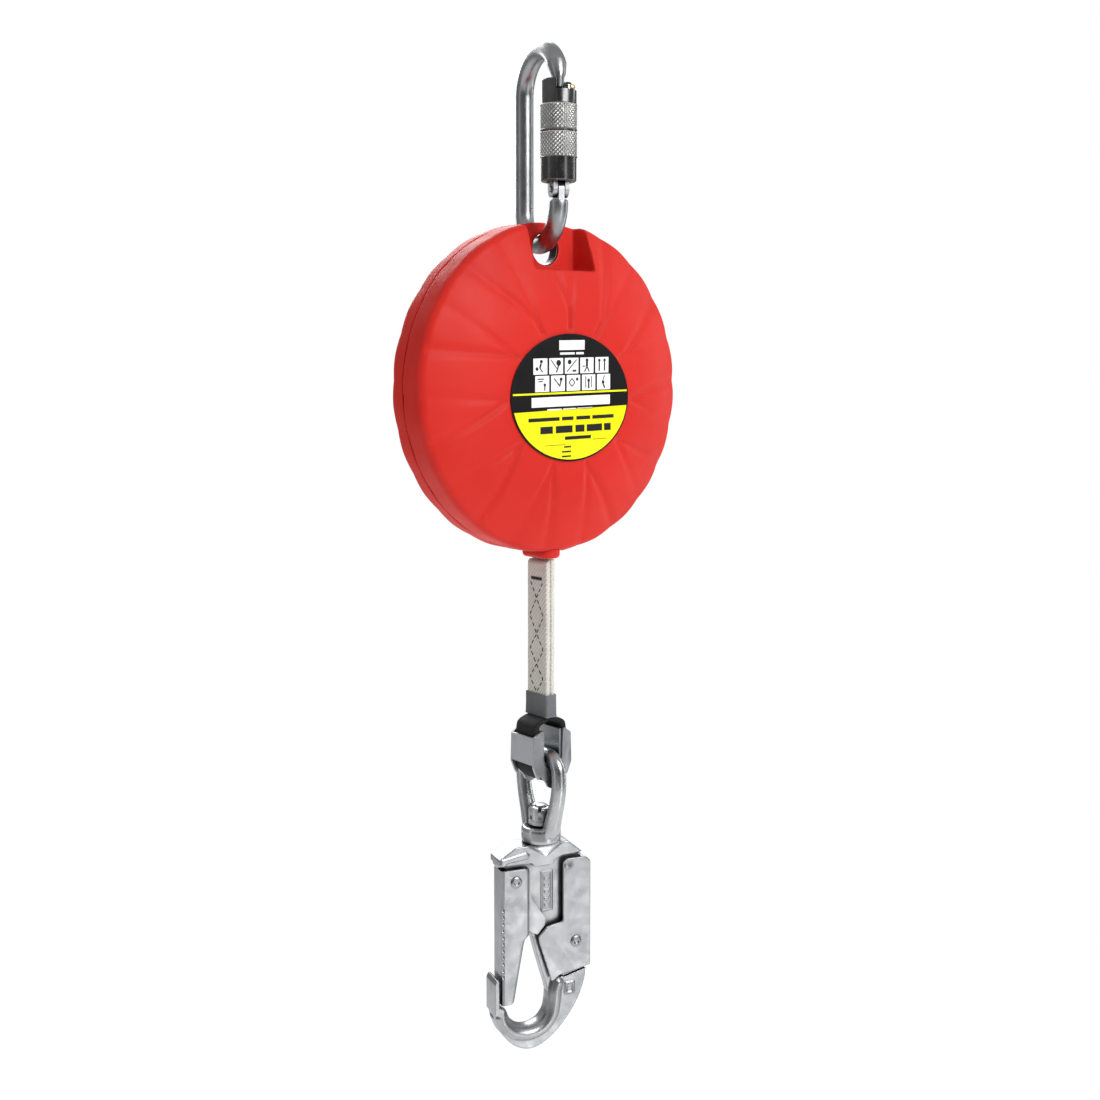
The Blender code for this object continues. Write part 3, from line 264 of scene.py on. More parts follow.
# ---------------------------------------------------------------- mesh tools
class Piece:
    """An object in metres, made from a closed mesh that is drawn in millimetres."""

    def __init__(self, name, bm, look, turn=UPRIGHT, angle=35):
        bmesh.ops.recalc_face_normals(bm, faces=bm.faces)
        mesh = bpy.data.meshes.new(name)
        bm.to_mesh(mesh)
        bm.free()
        mesh.transform(Matrix.Scale(MM, 4))
        mesh.transform(turn)
        mesh.materials.append(LOOKS[look])
        self.turn = turn
        self.obj = bpy.data.objects.new(name, mesh)
        bpy.context.scene.collection.objects.link(self.obj)
        self.shade(angle)

    def shade(self, angle):
        self.obj.data.shade_smooth()
        self.obj.data.set_sharp_from_angle(angle=radians(angle))

    def modify(self, kind, **settings):
        mod = self.obj.modifiers.new(kind.lower(), kind)
        for key, value in settings.items():
            setattr(mod, key, value)

    def bake(self):
        """Turns the modifiers into plain mesh."""
        graph = bpy.context.evaluated_depsgraph_get()
        mesh = bpy.data.meshes.new_from_object(self.obj.evaluated_get(graph))
        self.obj.modifiers.clear()
        self.obj.data = mesh
        return self

    def combine(self, operation, other):
        """Boolean with another piece, or with a mesh drawn in this piece's own plane."""
        if not isinstance(other, Piece):
            other = Piece("tool", other, "dark", self.turn)
        self.modify("BOOLEAN", operation=operation, object=other.obj, solver="EXACT")
        self.bake()
        bpy.data.objects.remove(other.obj, do_unlink=True)

    def cut(self, other):
        self.combine("DIFFERENCE", other)

    def fuse(self, other):
        self.combine("UNION", other)

    def remesh(self, voxel):
        self.modify("REMESH", mode="VOXEL", voxel_size=voxel * MM, use_smooth_shade=True)
        return self

    def smooth(self, turns):
        self.modify("SMOOTH", factor=0.5, iterations=turns)
        self.bake().shade(180)
        return self

    def soften(self, width, segments=3, limit=30):
        """Rounds every edge sharper than the limit and keeps flat faces flat."""
        self.modify("BEVEL", width=width * MM, segments=segments, limit_method="ANGLE",
                    angle_limit=radians(limit), use_clamp_overlap=True, miter_outer="MITER_ARC")
        self.modify("WEIGHTED_NORMAL", keep_sharp=True, weight=100)
        return self.bake()

    def paint(self, look, chosen):
        """A second look on the chosen faces."""
        self.obj.data.materials.append(LOOKS[look])
        for face in self.obj.data.polygons:
            if chosen(face):
                face.material_index = 1

    def place(self, body, node, replace=True):
        """Rides with the body in the node's slot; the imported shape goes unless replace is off."""
        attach(self.obj, body)
        if replace:
            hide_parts(node)


def loft(rings, closed=False, bm=None):
    """A skin over rings of points, capped at both ends or closed on itself."""
    bm = bmesh.new() if bm is None else bm
    loops = [[bm.verts.new(p) for p in ring] for ring in rings]
    for low, high in zip(loops, loops[1:] + loops[:1] if closed else loops[1:]):
        for i, corner in enumerate(low):
            j = (i + 1) % len(low)
            bm.faces.new((corner, low[j], high[j], high[i]))
    if not closed:
        bm.faces.new(loops[0])
        bm.faces.new(loops[-1])
    return bm


def stack(axis, levels, closed=False):
    """A skin over flat outlines, each with its height along X, Y or Z."""
    k = "XYZ".index(axis)
    return loft([[(*p[:k], height, *p[k:]) for p in line] for height, line in levels], closed)


def plate(outline, low, high, axis="Y"):
    return stack(axis, [(height, outline) for height in sorted((low, high))])


def frame_ring(outer, inner, low, high):
    return stack("Y", [(low, outer), (high, outer), (high, inner), (low, inner)], closed=True)


def rectangle(x0, x1, z0, z1):
    return [(x0, z0), (x1, z0), (x1, z1), (x0, z1)]


def block(x0, x1, y0, y1, z0, z1):
    return plate(rectangle(x0, x1, z0, z1), y0, y1)


def circle(a, b, radius, steps):
    return [(a + radius * cos(tau * i / steps), b + radius * sin(tau * i / steps))
            for i in range(steps)]


def arc(a, b, radius, start, end, steps):
    turns = [radians(start + (end - start) * i / steps) for i in range(steps + 1)]
    return [(a + radius * cos(turn), b + radius * sin(turn)) for turn in turns]


def turned(axis, profile, a=0.0, b=0.0, steps=64, ring=False):
    """Pairs of radius and height turned about a line through (a, b), as a bar or as a ring."""
    return stack(axis, [(height, circle(a, b, r, steps)) for r, height in profile], ring)


def bar(axis, radius, low, high, a=0.0, b=0.0, steps=32):
    return turned(axis, [(radius, low), (radius, high)], a, b, steps)


def joined(parts):
    """Several closed shapes in one mesh, to be fused by a voxel remesh."""
    bm = bmesh.new()
    for part in parts:
        bmesh.ops.recalc_face_normals(part, faces=part.faces)
        piece = bpy.data.meshes.new("piece")
        part.to_mesh(piece)
        part.free()
        bm.from_mesh(piece)
        bpy.data.meshes.remove(piece)
    return bm


def fillet(points, radius, steps=5):
    """Rounds each corner of a closed outline; radius is one number or one for each corner."""
    radii = radius if isinstance(radius, (list, tuple)) else [radius] * len(points)
    count = len(points)
    smooth = []
    for i, (x, z) in enumerate(points):
        px, pz = points[i - 1]
        nx, nz = points[(i + 1) % count]
        before, after = hypot(px - x, pz - z), hypot(nx - x, nz - z)
        ax, az = (px - x) / before, (pz - z) / before
        bx, bz = (nx - x) / after, (nz - z) / after
        turn = max(-1.0, min(1.0, ax * bx + az * bz))
        half = (pi - atan2(sqrt(1 - turn * turn), turn)) / 2
        reach = min(radii[i] * sin(half) / max(cos(half), 0.05), before * 0.45, after * 0.45)
        if reach < 0.02 or half < 0.05:
            smooth.append((x, z))
            continue
        for k in range(steps + 1):
            t = k / steps
            a, b, c = (1 - t) ** 2, 2 * t * (1 - t), t * t
            smooth.append((a * (x + ax * reach) + b * x + c * (x + bx * reach),
                           a * (z + az * reach) + b * z + c * (z + bz * reach)))
    return smooth


def smooth_path(points, steps=8):
    """Catmull-Rom curve through the points of an open path, of any dimension."""
    ends = [tuple(2 * a - b for a, b in zip(points[0], points[1]))]
    tail = [tuple(2 * a - b for a, b in zip(points[-1], points[-2]))]
    line = ends + list(points) + tail
    curve = []
    for i in range(1, len(line) - 2):
        p0, p1, p2, p3 = line[i - 1:i + 3]
        for k in range(steps):
            t = k / steps
            curve.append(tuple(
                0.5 * (2 * b + (c - a) * t + (2 * a - 5 * b + 4 * c - d) * t * t
                       + (3 * b - a - 3 * c + d) * t ** 3)
                for a, b, c, d in zip(p0, p1, p2, p3)))
    return curve + [tuple(points[-1])]


def between(path, i):
    """Unit vector across an open flat path at its point i."""
    (ax, ay), (bx, by) = path[max(i - 1, 0)], path[min(i + 1, len(path) - 1)]
    size = hypot(bx - ax, by - ay)
    return -(by - ay) / size, (bx - ax) / size


def sweep_yz(path, radii, sides):
    """A round bar bent in the YZ plane, one radius for each point."""
    rings = []
    for i, (y, z) in enumerate(path):
        ny, nz = between(path, i)
        rings.append([(u, y + v * ny, z + v * nz)
                      for v, u in circle(0.0, 0.0, radii[i], sides)])
    return loft(rings)


# ---------------------------------------------------------------- carabiner
BEND_HALF, BEND_RISE, BEND_STEPS = 25.2, 19.0, 36
ROD_R, ROD_TOP, ROD_BOTTOM = 4.8, 4.8, -92.8
GATE_PIN = (-BEND_HALF, -67.5)


def make_carabiner():
    top, low = ROD_TOP - BEND_RISE, ROD_BOTTOM + BEND_RISE
    bend = [(BEND_HALF * cos(pi * i / BEND_STEPS), BEND_RISE * sin(pi * i / BEND_STEPS))
            for i in range(BEND_STEPS + 1)]
    path = [(-BEND_HALF, z) for z in (-17.7, -17.2, -12.8, -11.4)]
    path += [(-y, top + rise) for y, rise in bend[5:]]
    path += [(BEND_HALF, top + (low - top) * i / 12) for i in range(1, 12)]
    path += [(y, low - rise) for y, rise in bend]
    radii = [2.1, 2.5, 2.8, 3.6] + [ROD_R] * (len(path) - 4) + [4.6, 4.2]
    path += [(-BEND_HALF, -73.2), (-BEND_HALF, -72.7)]
    body = Piece("carabiner_rod", sweep_yz(path, radii, 40), "bright", CARABINER)
    tang = arc(*GATE_PIN, 4.3, 0, 180, 24) + [(-BEND_HALF - 4.3, -76), (-BEND_HALF + 4.3, -76)]
    body.fuse(plate(tang, -1.6, 1.6, "X"))
    body.cut(bar("X", 1.9, -4, 4, *GATE_PIN))
    body.soften(0.35, 3, 38).place("carabiner", "carabiner_body")

    pin = turned("X", [(1.1, -5.0), (1.6, -4.6), (1.6, 4.6), (1.1, 5.0)], *GATE_PIN, 32)
    Piece("gate_hinge_pin", pin, "bright", CARABINER).place("carabiner", "carabiner_gate_pin")

    rod = turned("Z", [(4.4, -65.6), (4.6, -65.3), (5.5, -60.5), (5.5, -21.2), (5.3, -20.5),
                       (4.9, -20.1)], 0, -BEND_HALF, 48)
    gate = Piece("gate_rod", rod, "bright", CARABINER)
    foot = arc(*GATE_PIN, 4.2, 180, 360, 24)
    foot += [(-BEND_HALF + 4.2, -61.5), (-BEND_HALF - 4.2, -61.5)]
    gate.fuse(plate(foot, -4.2, 4.2, "X"))
    gate.fuse(block(4.4, 5.5, -BEND_HALF - 1.6, -BEND_HALF + 1.6, -22, -15.9))
    gate.cut(block(-2.0, 2.0, -BEND_HALF - 8, -BEND_HALF + 8, -75.5, -62.3))
    gate.cut(bar("X", 1.7, -7, 7, *GATE_PIN))
    gate.soften(0.3, 3, 38).place("carabiner_gate", "carabiner_gate")

    head = turned("X", [(0.7, 4.2), (0.7, 6.0), (1.35, 6.0), (1.4, 6.2), (1.4, 7.9), (1.1, 8.35)],
                  -BEND_HALF, -17.0, 28)
    Piece("stop_pin", head, "brass", CARABINER).place("carabiner_gate", "sleeve_stop_pin")
    make_lock_sleeve()


KNURL = ((-26.4, -38.6), (-40.0, -52.0))
KNURL_R, KNURL_PITCH, KNURL_DEPTH, KNURL_ROW = 9.3, 2.1, 0.5, 0.2
SLEEVE_STEPS = 342


def knurl_height(turn, z):
    """Depth of the diamond pattern below the crown at this point of a knurled band."""
    band = next(((a, b) for a, b in KNURL if b - 0.001 <= z <= a + 0.001), None)
    if band is None:
        return 0.0
    u = turn / tau * round(tau * KNURL_R / KNURL_PITCH)
    v = z / KNURL_PITCH
    first, second = (u + v) % 1.0, (u - v) % 1.0
    crest = min(abs(first - 0.5), abs(second - 0.5)) * 2
    edge = min(1.0, (band[0] - z) / 0.5, (z - band[1]) / 0.5)
    return KNURL_DEPTH * (1 - crest) ** 1.3 * max(edge, 0.0)


def knurl_levels(high, low):
    levels = []
    z = high
    while z > low:
        levels.append((KNURL_R, z))
        z -= KNURL_ROW
    return levels + [(KNURL_R, low)]


def make_lock_sleeve():
    levels = [(8.05, -14.0), (8.4, -14.12), (8.72, -14.4), (8.9, -14.9), (8.9, -25.9),
              (9.0, -26.2), *knurl_levels(*KNURL[0]), (8.9, -38.9), (8.85, -39.7),
              *knurl_levels(*KNURL[1]), (9.0, -52.2), (8.9, -52.5), (8.9, -62.9), (8.75, -63.5),
              (8.4, -63.9), (8.0, -64.0), (6.2, -64.0), (6.2, -14.0)]
    rings = []
    for i in range(SLEEVE_STEPS):
        a = tau * i / SLEEVE_STEPS
        ring = []
        for r, z in levels:
            reach = r - knurl_height(a, z)
            ring.append((reach * cos(a), -BEND_HALF + reach * sin(a), z))
        rings.append(ring)
    sleeve = Piece("knurled_lock_sleeve", loft(rings, closed=True), "knurled", CARABINER, 50)
    fan = [(0.0, -BEND_HALF)] + arc(0.0, -BEND_HALF, 14, -119, 22, 16)
    sleeve.cut(plate(fan, -19.5, -12.0, "Z"))
    sleeve.shade(50)
    # Faces outside the knurled bands take the near-black copy of the steel: painted shade.
    sleeve.paint("band", lambda face: not any(low * MM <= face.center.z <= high * MM
                                              for high, low in KNURL))
    sleeve.place("lock_sleeve", "twist_lock_sleeve")


# ---------------------------------------------------------------- housing
HOUSING_Z = -166.8
HOUSING_R = 85.0
PARTING_Y, PARTING_GAP = 2.0, 0.15
WALL = 2.6
FLAT_R = 40.4
LABEL_X, LABEL_Z = 38.9, 32.3
LABEL_MID = HOUSING_Z - 4.6
UNITS = 11
STRONG_SWEEP, WEAK_SWEEP = radians(11.0), radians(-5.4)
HOLE_UP, HOLE_R = 71.6, 8.4
RECESS_HALF, RECESS_DOWN = 18.0, 61.0
SCREW_SPOTS = [(76.0 * sin(radians(a)), HOUSING_Z + 76.0 * cos(radians(a)))
               for a in (36, 90, 144, 216, 270, 324)]


def dome(radius, rise):
    """How far a shell's face stands above its rim edge."""
    t = max(0.0, (radius - FLAT_R) / (HOUSING_R - FLAT_R))
    return rise * (1 - t ** 1.7)


def swept(radius, full):
    run = max(radius - FLAT_R, 0.0)
    return full * (1 - exp(-run / 22.0)) / (1 - exp(-(HOUSING_R - FLAT_R) / 22.0))


def crease(offset, width):
    """Soft-sided groove: 1 on its line, 0 beyond its width."""
    t = min(offset / width, 1.0)
    return (1 - t) ** 2 * (1 + 0.6 * t)


def line_distance(radius, a, side, full):
    """Way along this circle to the nearest crease line of the set with that full sweep."""
    unit = tau / UNITS
    line = ((a - pi / 2) * side - swept(radius, full)) / unit
    return abs(line - round(line)) * unit * radius


def flute(radius, a, side):
    """Depth of the moulded creases at this point, in millimetres; they start at the label edge."""
    reach_x, reach_z = radius * cos(a), radius * sin(a) + HOUSING_Z - LABEL_MID
    run = max(0.0, (hypot(reach_x / LABEL_X, reach_z / LABEL_Z) - 1) * LABEL_Z)
    width = 2.3 + 0.10 * run
    sink = 0.0
    for full, depth, reach in ((STRONG_SWEEP, 1.7, 52.0), (WEAK_SWEEP, 1.25, 30.0)):
        fade = 1 - min(1.0, run / reach) ** 1.6
        groove = crease(line_distance(radius, a, side, full), width)
        sink = max(sink, depth * (0.35 + 0.65 * fade) * groove)
    return sink * min(1.0, run / 2.5)


def scallop(a, side):
    """How far the rim is drawn in: a shallow curve between the ends of the creases."""
    offset = min(line_distance(HOUSING_R, a, side, full) for full in (STRONG_SWEEP, WEAK_SWEEP))
    return 0.7 * max(0.0, 1 - offset / 12.0) ** 1.3


def shell_profile(rise, rim, start):
    """Radius and height from the parting line over the rounded edge to the centre."""
    points = [(HOUSING_R, start), (HOUSING_R, (start + rim - 3.2) / 2), (HOUSING_R, rim - 3.2)]
    low, high = (HOUSING_R, rim - 3.2), (80.8, rim + dome(80.8, rise))
    corner = (HOUSING_R - 0.4, rim + 0.7)
    for i in range(1, 9):
        t = i / 8
        points.append(tuple((1 - t) ** 2 * p + 2 * t * (1 - t) * q + t * t * r
                            for p, q, r in zip(low, corner, high)))
    radius = 79.6
    while radius > FLAT_R + 0.4:
        points.append((radius, rim + dome(radius, rise)))
        radius -= 1.0
    while radius > 26.0:
        points.append((radius, rim + rise))
        radius -= 1.2
    points.append((20.0, rim + rise))
    return points


SHELL_STEPS = 396


def shell_skin(rise, rim, start, out):
    """Rings of one shell's outer face, with its creases and its drawn-in rim."""
    side = -out
    rings = []
    for radius, height in shell_profile(rise, rim, start):
        edge = 0.35 + 0.65 * min(1.0, max(0.0, (height - rim + 8.0) / 8.0))
        reach = edge * min(1.0, max(0.0, (radius - 76.0) / 8.0))
        ring = []
        for i in range(SHELL_STEPS):
            a = tau * i / SHELL_STEPS
            sink = flute(radius, a, side) if radius < 84 else 0.0
            r = radius - scallop(a, side) * reach
            ring.append((r * cos(a), out * (height - sink), HOUSING_Z + r * sin(a)))
        rings.append(ring)
    return rings


def make_shell(name, out, node):
    """Front shell for out = -1, rear shell for out = +1; heights are counted outwards."""
    front = out < 0
    rise, rim = 11.5 if front else 7.5, 12.5
    start = out * PARTING_Y + PARTING_GAP

    def under(radii, depth):
        """Profile points that far below the outer face."""
        return [(r, rim + dome(r, rise) - depth) for r in radii]

    inner = HOUSING_R - WALL
    profile = under((20.0, 38.0, 58.0, 79.5), WALL) + [(inner, rim - 5.5), (inner, start)]
    lining = [[(x, out * height, z) for x, z in circle(0.0, HOUSING_Z, radius, SHELL_STEPS)]
              for radius, height in profile]
    shell = Piece(name, loft(lining + shell_skin(rise, rim, start, out)), "red")

    near = 1.8 if front else start
    top, bottom = HOUSING_Z + 90, HOUSING_Z + RECESS_DOWN
    profile = [(HOUSING_R - 1.5, near), (HOUSING_R - 1.5, rim - 4.5)] + under((79, 66, 52), 1.5)
    fill = Piece("pocket_fill", turned("Y", [(r, out * h) for r, h in profile], 0, HOUSING_Z, 90),
                 "red")
    fill.combine("INTERSECT", block(-RECESS_HALF - 2.4, RECESS_HALF + 2.4, out * near, out * 30,
                                    bottom - 2.2, top))
    shell.fuse(fill)
    seat = out * (rim + dome(76.0, rise) - WALL / 2)
    for x, z in SCREW_SPOTS:
        shell.fuse(bar("Y", 3.6 if front else 4.3, out * start, seat, x, z, 24))
    floor_line = rectangle(-RECESS_HALF, RECESS_HALF, bottom, top)
    wide = [(x * 1.16, z - 1.5 if z < top else z) for x, z in floor_line]
    shell.cut(stack("Y", [(out * 4.0, floor_line), (out * 26, wide)]))
    for radius, low, high in ((HOLE_R, 3.1, 40), (9.3, 0.0, 3.1)):
        shell.cut(bar("Y", radius, out * low, out * high, 0, HOUSING_Z + HOLE_UP, 56))
    shell.cut(plate(stadium(12.2, 6.7, 20), HOUSING_Z - 95, HOUSING_Z - 70, "Z"))
    bore = ([(1.7, -9.2), (1.7, 6.0)] if front else
            [(1.7, 0.0), (1.7, 8.0), (3.3, 8.0), (3.3, 24.0)])
    for x, z in SCREW_SPOTS:
        shell.cut(turned("Y", bore, x, z, 24))
    shell.remesh(0.75).smooth(3).place("housing", node)


def stadium(half_y, half_x, steps):
    """Slot outline, long along Y."""
    run = half_y - half_x
    points = [(half_x * cos(pi * i / steps), run + half_x * sin(pi * i / steps))
              for i in range(steps + 1)]
    return points + [(-x, -y) for x, y in points]


def make_nozzle():
    outside = [(10.0, 8.5, 79.4), (10.0, 8.5, 81.2), (11.7, 6.2, 81.5), (11.9, 6.4, 82.0),
               (11.9, 6.4, 86.2), (11.75, 6.25, 87.1), (11.3, 5.8, 87.9), (10.7, 5.2, 88.3),
               (10.2, 4.7, 88.35), (9.7, 4.2, 88.1)]
    inside = [(9.35, 3.85, 87.4), (9.3, 3.8, 86.0), (9.3, 3.8, 79.4)]
    levels = [(HOUSING_Z - down, stadium(half_y, half_x, 24))
              for half_y, half_x, down in outside + inside]
    nozzle = Piece("exit_nozzle_lip", stack("Z", levels, closed=True), "red", angle=50)
    nozzle.place("housing", "exit_nozzle")


# ---------------------------------------------------------------- label
LABEL_Y, LABEL_THICK, PRINT = -24.3, 0.4, 0.05
LABEL_FACE = LABEL_Y - LABEL_THICK
LABEL_LEAN = 0.024
SQUARE_HALF_X, SQUARE_HALF_Z, SQUARE_PITCH = 4.5, 4.005, 10.2
SQUARE_ROWS = ((-20.4, 16.2), (-19.2, 7.5))


def flat_patch(name, outline, look, y=LABEL_FACE):
    """A thin printed area; its outline is in X and Z."""
    Piece(name, plate(outline, y - PRINT, y), look).place("housing", "front_label", replace=False)


def oval(shrink, steps):
    return [((LABEL_X - shrink) * cos(tau * i / steps),
             LABEL_MID + (LABEL_Z - shrink) * sin(tau * i / steps)) for i in range(steps)]


def below(shrink, level_left, level_right):
    """Part of the label's oval under a line that runs between two heights at its sides."""
    points = []
    for x, z in oval(shrink, 180):
        t = (x + LABEL_X) / (2 * LABEL_X)
        limit = LABEL_MID + level_left + (level_right - level_left) * t
        points.append((x, min(z, limit)))
    return points


def make_label():
    base = Piece("label_disc", plate(oval(0, 96), LABEL_FACE, LABEL_Y), "label_black")
    base.soften(0.12, 2).place("housing", "front_label")
    flat_patch("label_yellow_field", below(0.9, -7.3, -4.2), "label_yellow")
    end = LABEL_X - 1.2
    line = [(-end, LABEL_MID + 1.2), (end, LABEL_MID + 3.0), (end, LABEL_MID + 3.9),
            (-end, LABEL_MID + 2.1)]
    flat_patch("label_yellow_line", line, "label_yellow")
    make_pictograms()
    make_text_blocks()


def tilted(points, x=0.0, z=0.0):
    """Label artwork moved to its place; it leans by a few degrees, rising to the right."""
    return [(x + px, LABEL_MID + z + pz + LABEL_LEAN * (x + px)) for px, pz in points]


def stroke(x0, z0, x1, z1, width):
    """Outline of a straight line with a width."""
    half = width / 2 / hypot(x1 - x0, z1 - z0)
    nx, nz = (z0 - z1) * half, (x1 - x0) * half
    return [(x0 + nx, z0 + nz), (x0 - nx, z0 - nz), (x1 - nx, z1 - nz), (x1 + nx, z1 + nz)]


def make_pictograms():
    """Two rows of five white squares, each with a simple generic figure."""
    corners = rectangle(-SQUARE_HALF_X, SQUARE_HALF_X, -SQUARE_HALF_Z, SQUARE_HALF_Z)
    for k, marks in enumerate(PICTOGRAMS):
        row, column = divmod(k, 5)
        first_x, z = SQUARE_ROWS[row]
        spot = (first_x + column * SQUARE_PITCH, z)
        tag = f"{row + 1}{column + 1}"
        square = fillet(tilted(corners, *spot), 0.3, 3)
        flat_patch(f"pictogram_square_{tag}", square, "label_white")
        for number, mark in enumerate(marks, 1):
            outline = circle(*mark, 20) if len(mark) == 3 else stroke(*mark)
            flat_patch(f"pictogram_mark_{tag}_{number}", tilted(outline, *spot), "label_black",
                       LABEL_FACE - PRINT)


# Each figure: a dot is x, z and radius; a line is x, z, x, z and width, from the square's middle.
PICTOGRAMS = [
    [(0.6, 2.4, 0.9), (0.4, 1.4, -0.4, -0.8, 1.1), (-0.4, -0.8, 1.4, -2.8, 0.6),
     (-2.2, -1.2, 0.9)],
    [(-3.4, 3.2, 0.4, -1.2, 0.5), (1.6, 1.6, 1.5), (1.6, 0.4, 0.2, -3.2, 0.8)],
    [(-3.2, -3.0, 3.2, 3.0, 0.5), (-1.4, 1.9, 1.2), (0.6, -2.6, 3.0, -2.6, 0.9)],
    [(0.0, 2.6, 0.9), (0.0, 1.8, 0.0, -0.6, 1.4), (0.0, -0.6, -1.6, -3.2, 0.7),
     (0.0, -0.6, 1.6, -3.2, 0.7), (-3.0, -0.4, -1.2, -0.4, 0.5)],
    [(-1.8, 2.4, 0.8), (-1.8, 1.6, -1.8, -3.0, 0.9), (1.8, 2.4, 0.8),
     (1.8, 1.6, 1.8, -3.0, 0.9)],
    [(-3.0, 2.4, 1.0, 2.4, 0.5), (-2.4, 1.2, 0.4, 1.2, 0.5), (1.6, -0.6, 0.8),
     (1.6, -1.2, 1.6, -3.4, 0.7)],
    [(-2.6, 2.6, 0.8, -1.0, 0.6), (2.0, 2.0, 0.9), (2.0, 1.2, 1.0, -1.6, 0.8)],
    [(-3.0, 0.2, -1.0, 2.2, 0.5), (-1.0, 2.2, 1.0, 0.2, 0.5),
     (1.0, 0.2, -1.0, -1.8, 0.5), (-1.0, -1.8, -3.0, 0.2, 0.5), (2.4, 1.8, 0.8)],
    [(-2.0, 3.0, -2.0, -2.6, 0.5), (2.0, 3.0, 2.0, -2.6, 0.5), (0.0, 1.0, 0.9),
     (0.0, 0.2, 0.0, -3.0, 1.0)],
    [(0.6, 3.2, -0.6, 0.6, 0.5), (-0.4, -0.2, 0.9), (-0.4, -1.0, 0.8, -3.2, 0.9)],
]


def text_blocks(name, z, spans, height, look="label_black", y=LABEL_FACE - PRINT):
    """A row of plain blocks in place of lettering."""
    for k, (x0, x1) in enumerate(spans, 1):
        line = tilted(rectangle(x0, x1, -height / 2, height / 2), 0.0, z)
        flat_patch(f"{name}_{k}", line, look, y)


def make_text_blocks():
    for name, z, spans, height in (
            ("title_bar", 26.6, [(-8.2, 8.6)], 4.9),
            ("subtitle_bar", 22.4, [(-7.6, 2.0), (3.0, 8.0)], 1.1),
            ("maker_bar", -1.7, [(-26.0, 26.0)], 4.9),
            ("address_bar", -5.6, [(-16.0, -6.5), (-5.5, 3.0), (4.0, 14.0)], 0.7)):
        text_blocks(name, z, spans, height, "label_white", LABEL_FACE)
    text_blocks("type_bar", -10.4, [(-28.0, -8.0), (-6.4, 1.2), (3.2, 12.4), (14.0, 28.6)], 1.8)
    text_blocks("mark_bar", -15.8, [(-20.4, -12.4), (-10.4, 0.6), (2.6, 8.6), (10.2, 20.6),
                                    (22.0, 26.6)], 3.6)
    text_blocks("norm_bar", -20.4, [(-4.4, 13.0)], 1.7)
    text_blocks("entry_line_a", -23.6, [(-17.4, -4.0)], 0.22)
    text_blocks("entry_line_b", -21.8, [(14.2, 24.0)], 0.22)
    text_blocks("entry_word_1", -24.8, [(-5.0, -0.4)], 0.8)
    text_blocks("entry_word_2", -27.2, [(-6.4, -0.4)], 0.8)
    text_blocks("entry_word_3", -29.6, [(-6.4, -0.4)], 0.8)


# ---------------------------------------------------------------- screws on the back
def make_screws():
    profile = [(1.4, -8.7), (1.4, 8.3), (2.7, 8.3), (2.9, 8.5), (2.9, 9.7), (2.6, 10.2),
               (2.2, 10.4)]
    for k, (x, z) in enumerate(SCREW_SPOTS, 1):
        screw = Piece(f"shell_screw_{k}", turned("Y", profile, x, z, 28), "dark")
        star = [(x + r * cos(tau * i / 12), z + r * sin(tau * i / 12))
                for i, r in enumerate([1.35, 0.95] * 6)]
        screw.cut(plate(star, 8.9, 12.0))
        screw.soften(0.08, 2, 40).place("housing", f"housing_screw_{k}")


# ---------------------------------------------------------------- webbing, sleeve and thimble
STRAP_TOP, STRAP_BOTTOM, STRAP_HALF = -256.0, -339.5, 8.4
BAND_TOP = -327.5
EYE_Z = -360.3
PLY_ROWS = 232


def rounded_box(half_x, half_y, round_r, count):
    """Rounded rectangle as count points, spread evenly by length, centred on the origin."""
    corners = []
    for sx, sy, first in ((1, 1, 0), (-1, 1, 90), (-1, -1, 180), (1, -1, 270)):
        corners += [(sx * (half_x - round_r) + round_r * cos(radians(first + 15 * k)),
                     sy * (half_y - round_r) + round_r * sin(radians(first + 15 * k)))
                    for k in range(7)]
    corners.append(corners[0])
    lengths = [hypot(b[0] - a[0], b[1] - a[1]) for a, b in zip(corners, corners[1:])]
    total, points, k, passed = sum(lengths), [], 0, 0.0
    for i in range(count):
        want = total * i / count
        while passed + lengths[k] < want:
            passed += lengths[k]
            k += 1
        t = (want - passed) / lengths[k]
        points.append((corners[k][0] + (corners[k + 1][0] - corners[k][0]) * t,
                       corners[k][1] + (corners[k + 1][1] - corners[k][1]) * t))
    return points


def weave(across, along, pitch_across, pitch_along):
    """Height of a plain weave, from -1 to 1."""
    lean = 1 if floor(across / pitch_across) % 2 else -1
    return (abs(sin(pi * across / pitch_across)) ** 0.6
            * (0.55 + 0.45 * cos(tau * along / pitch_along + lean * pi / 2)))


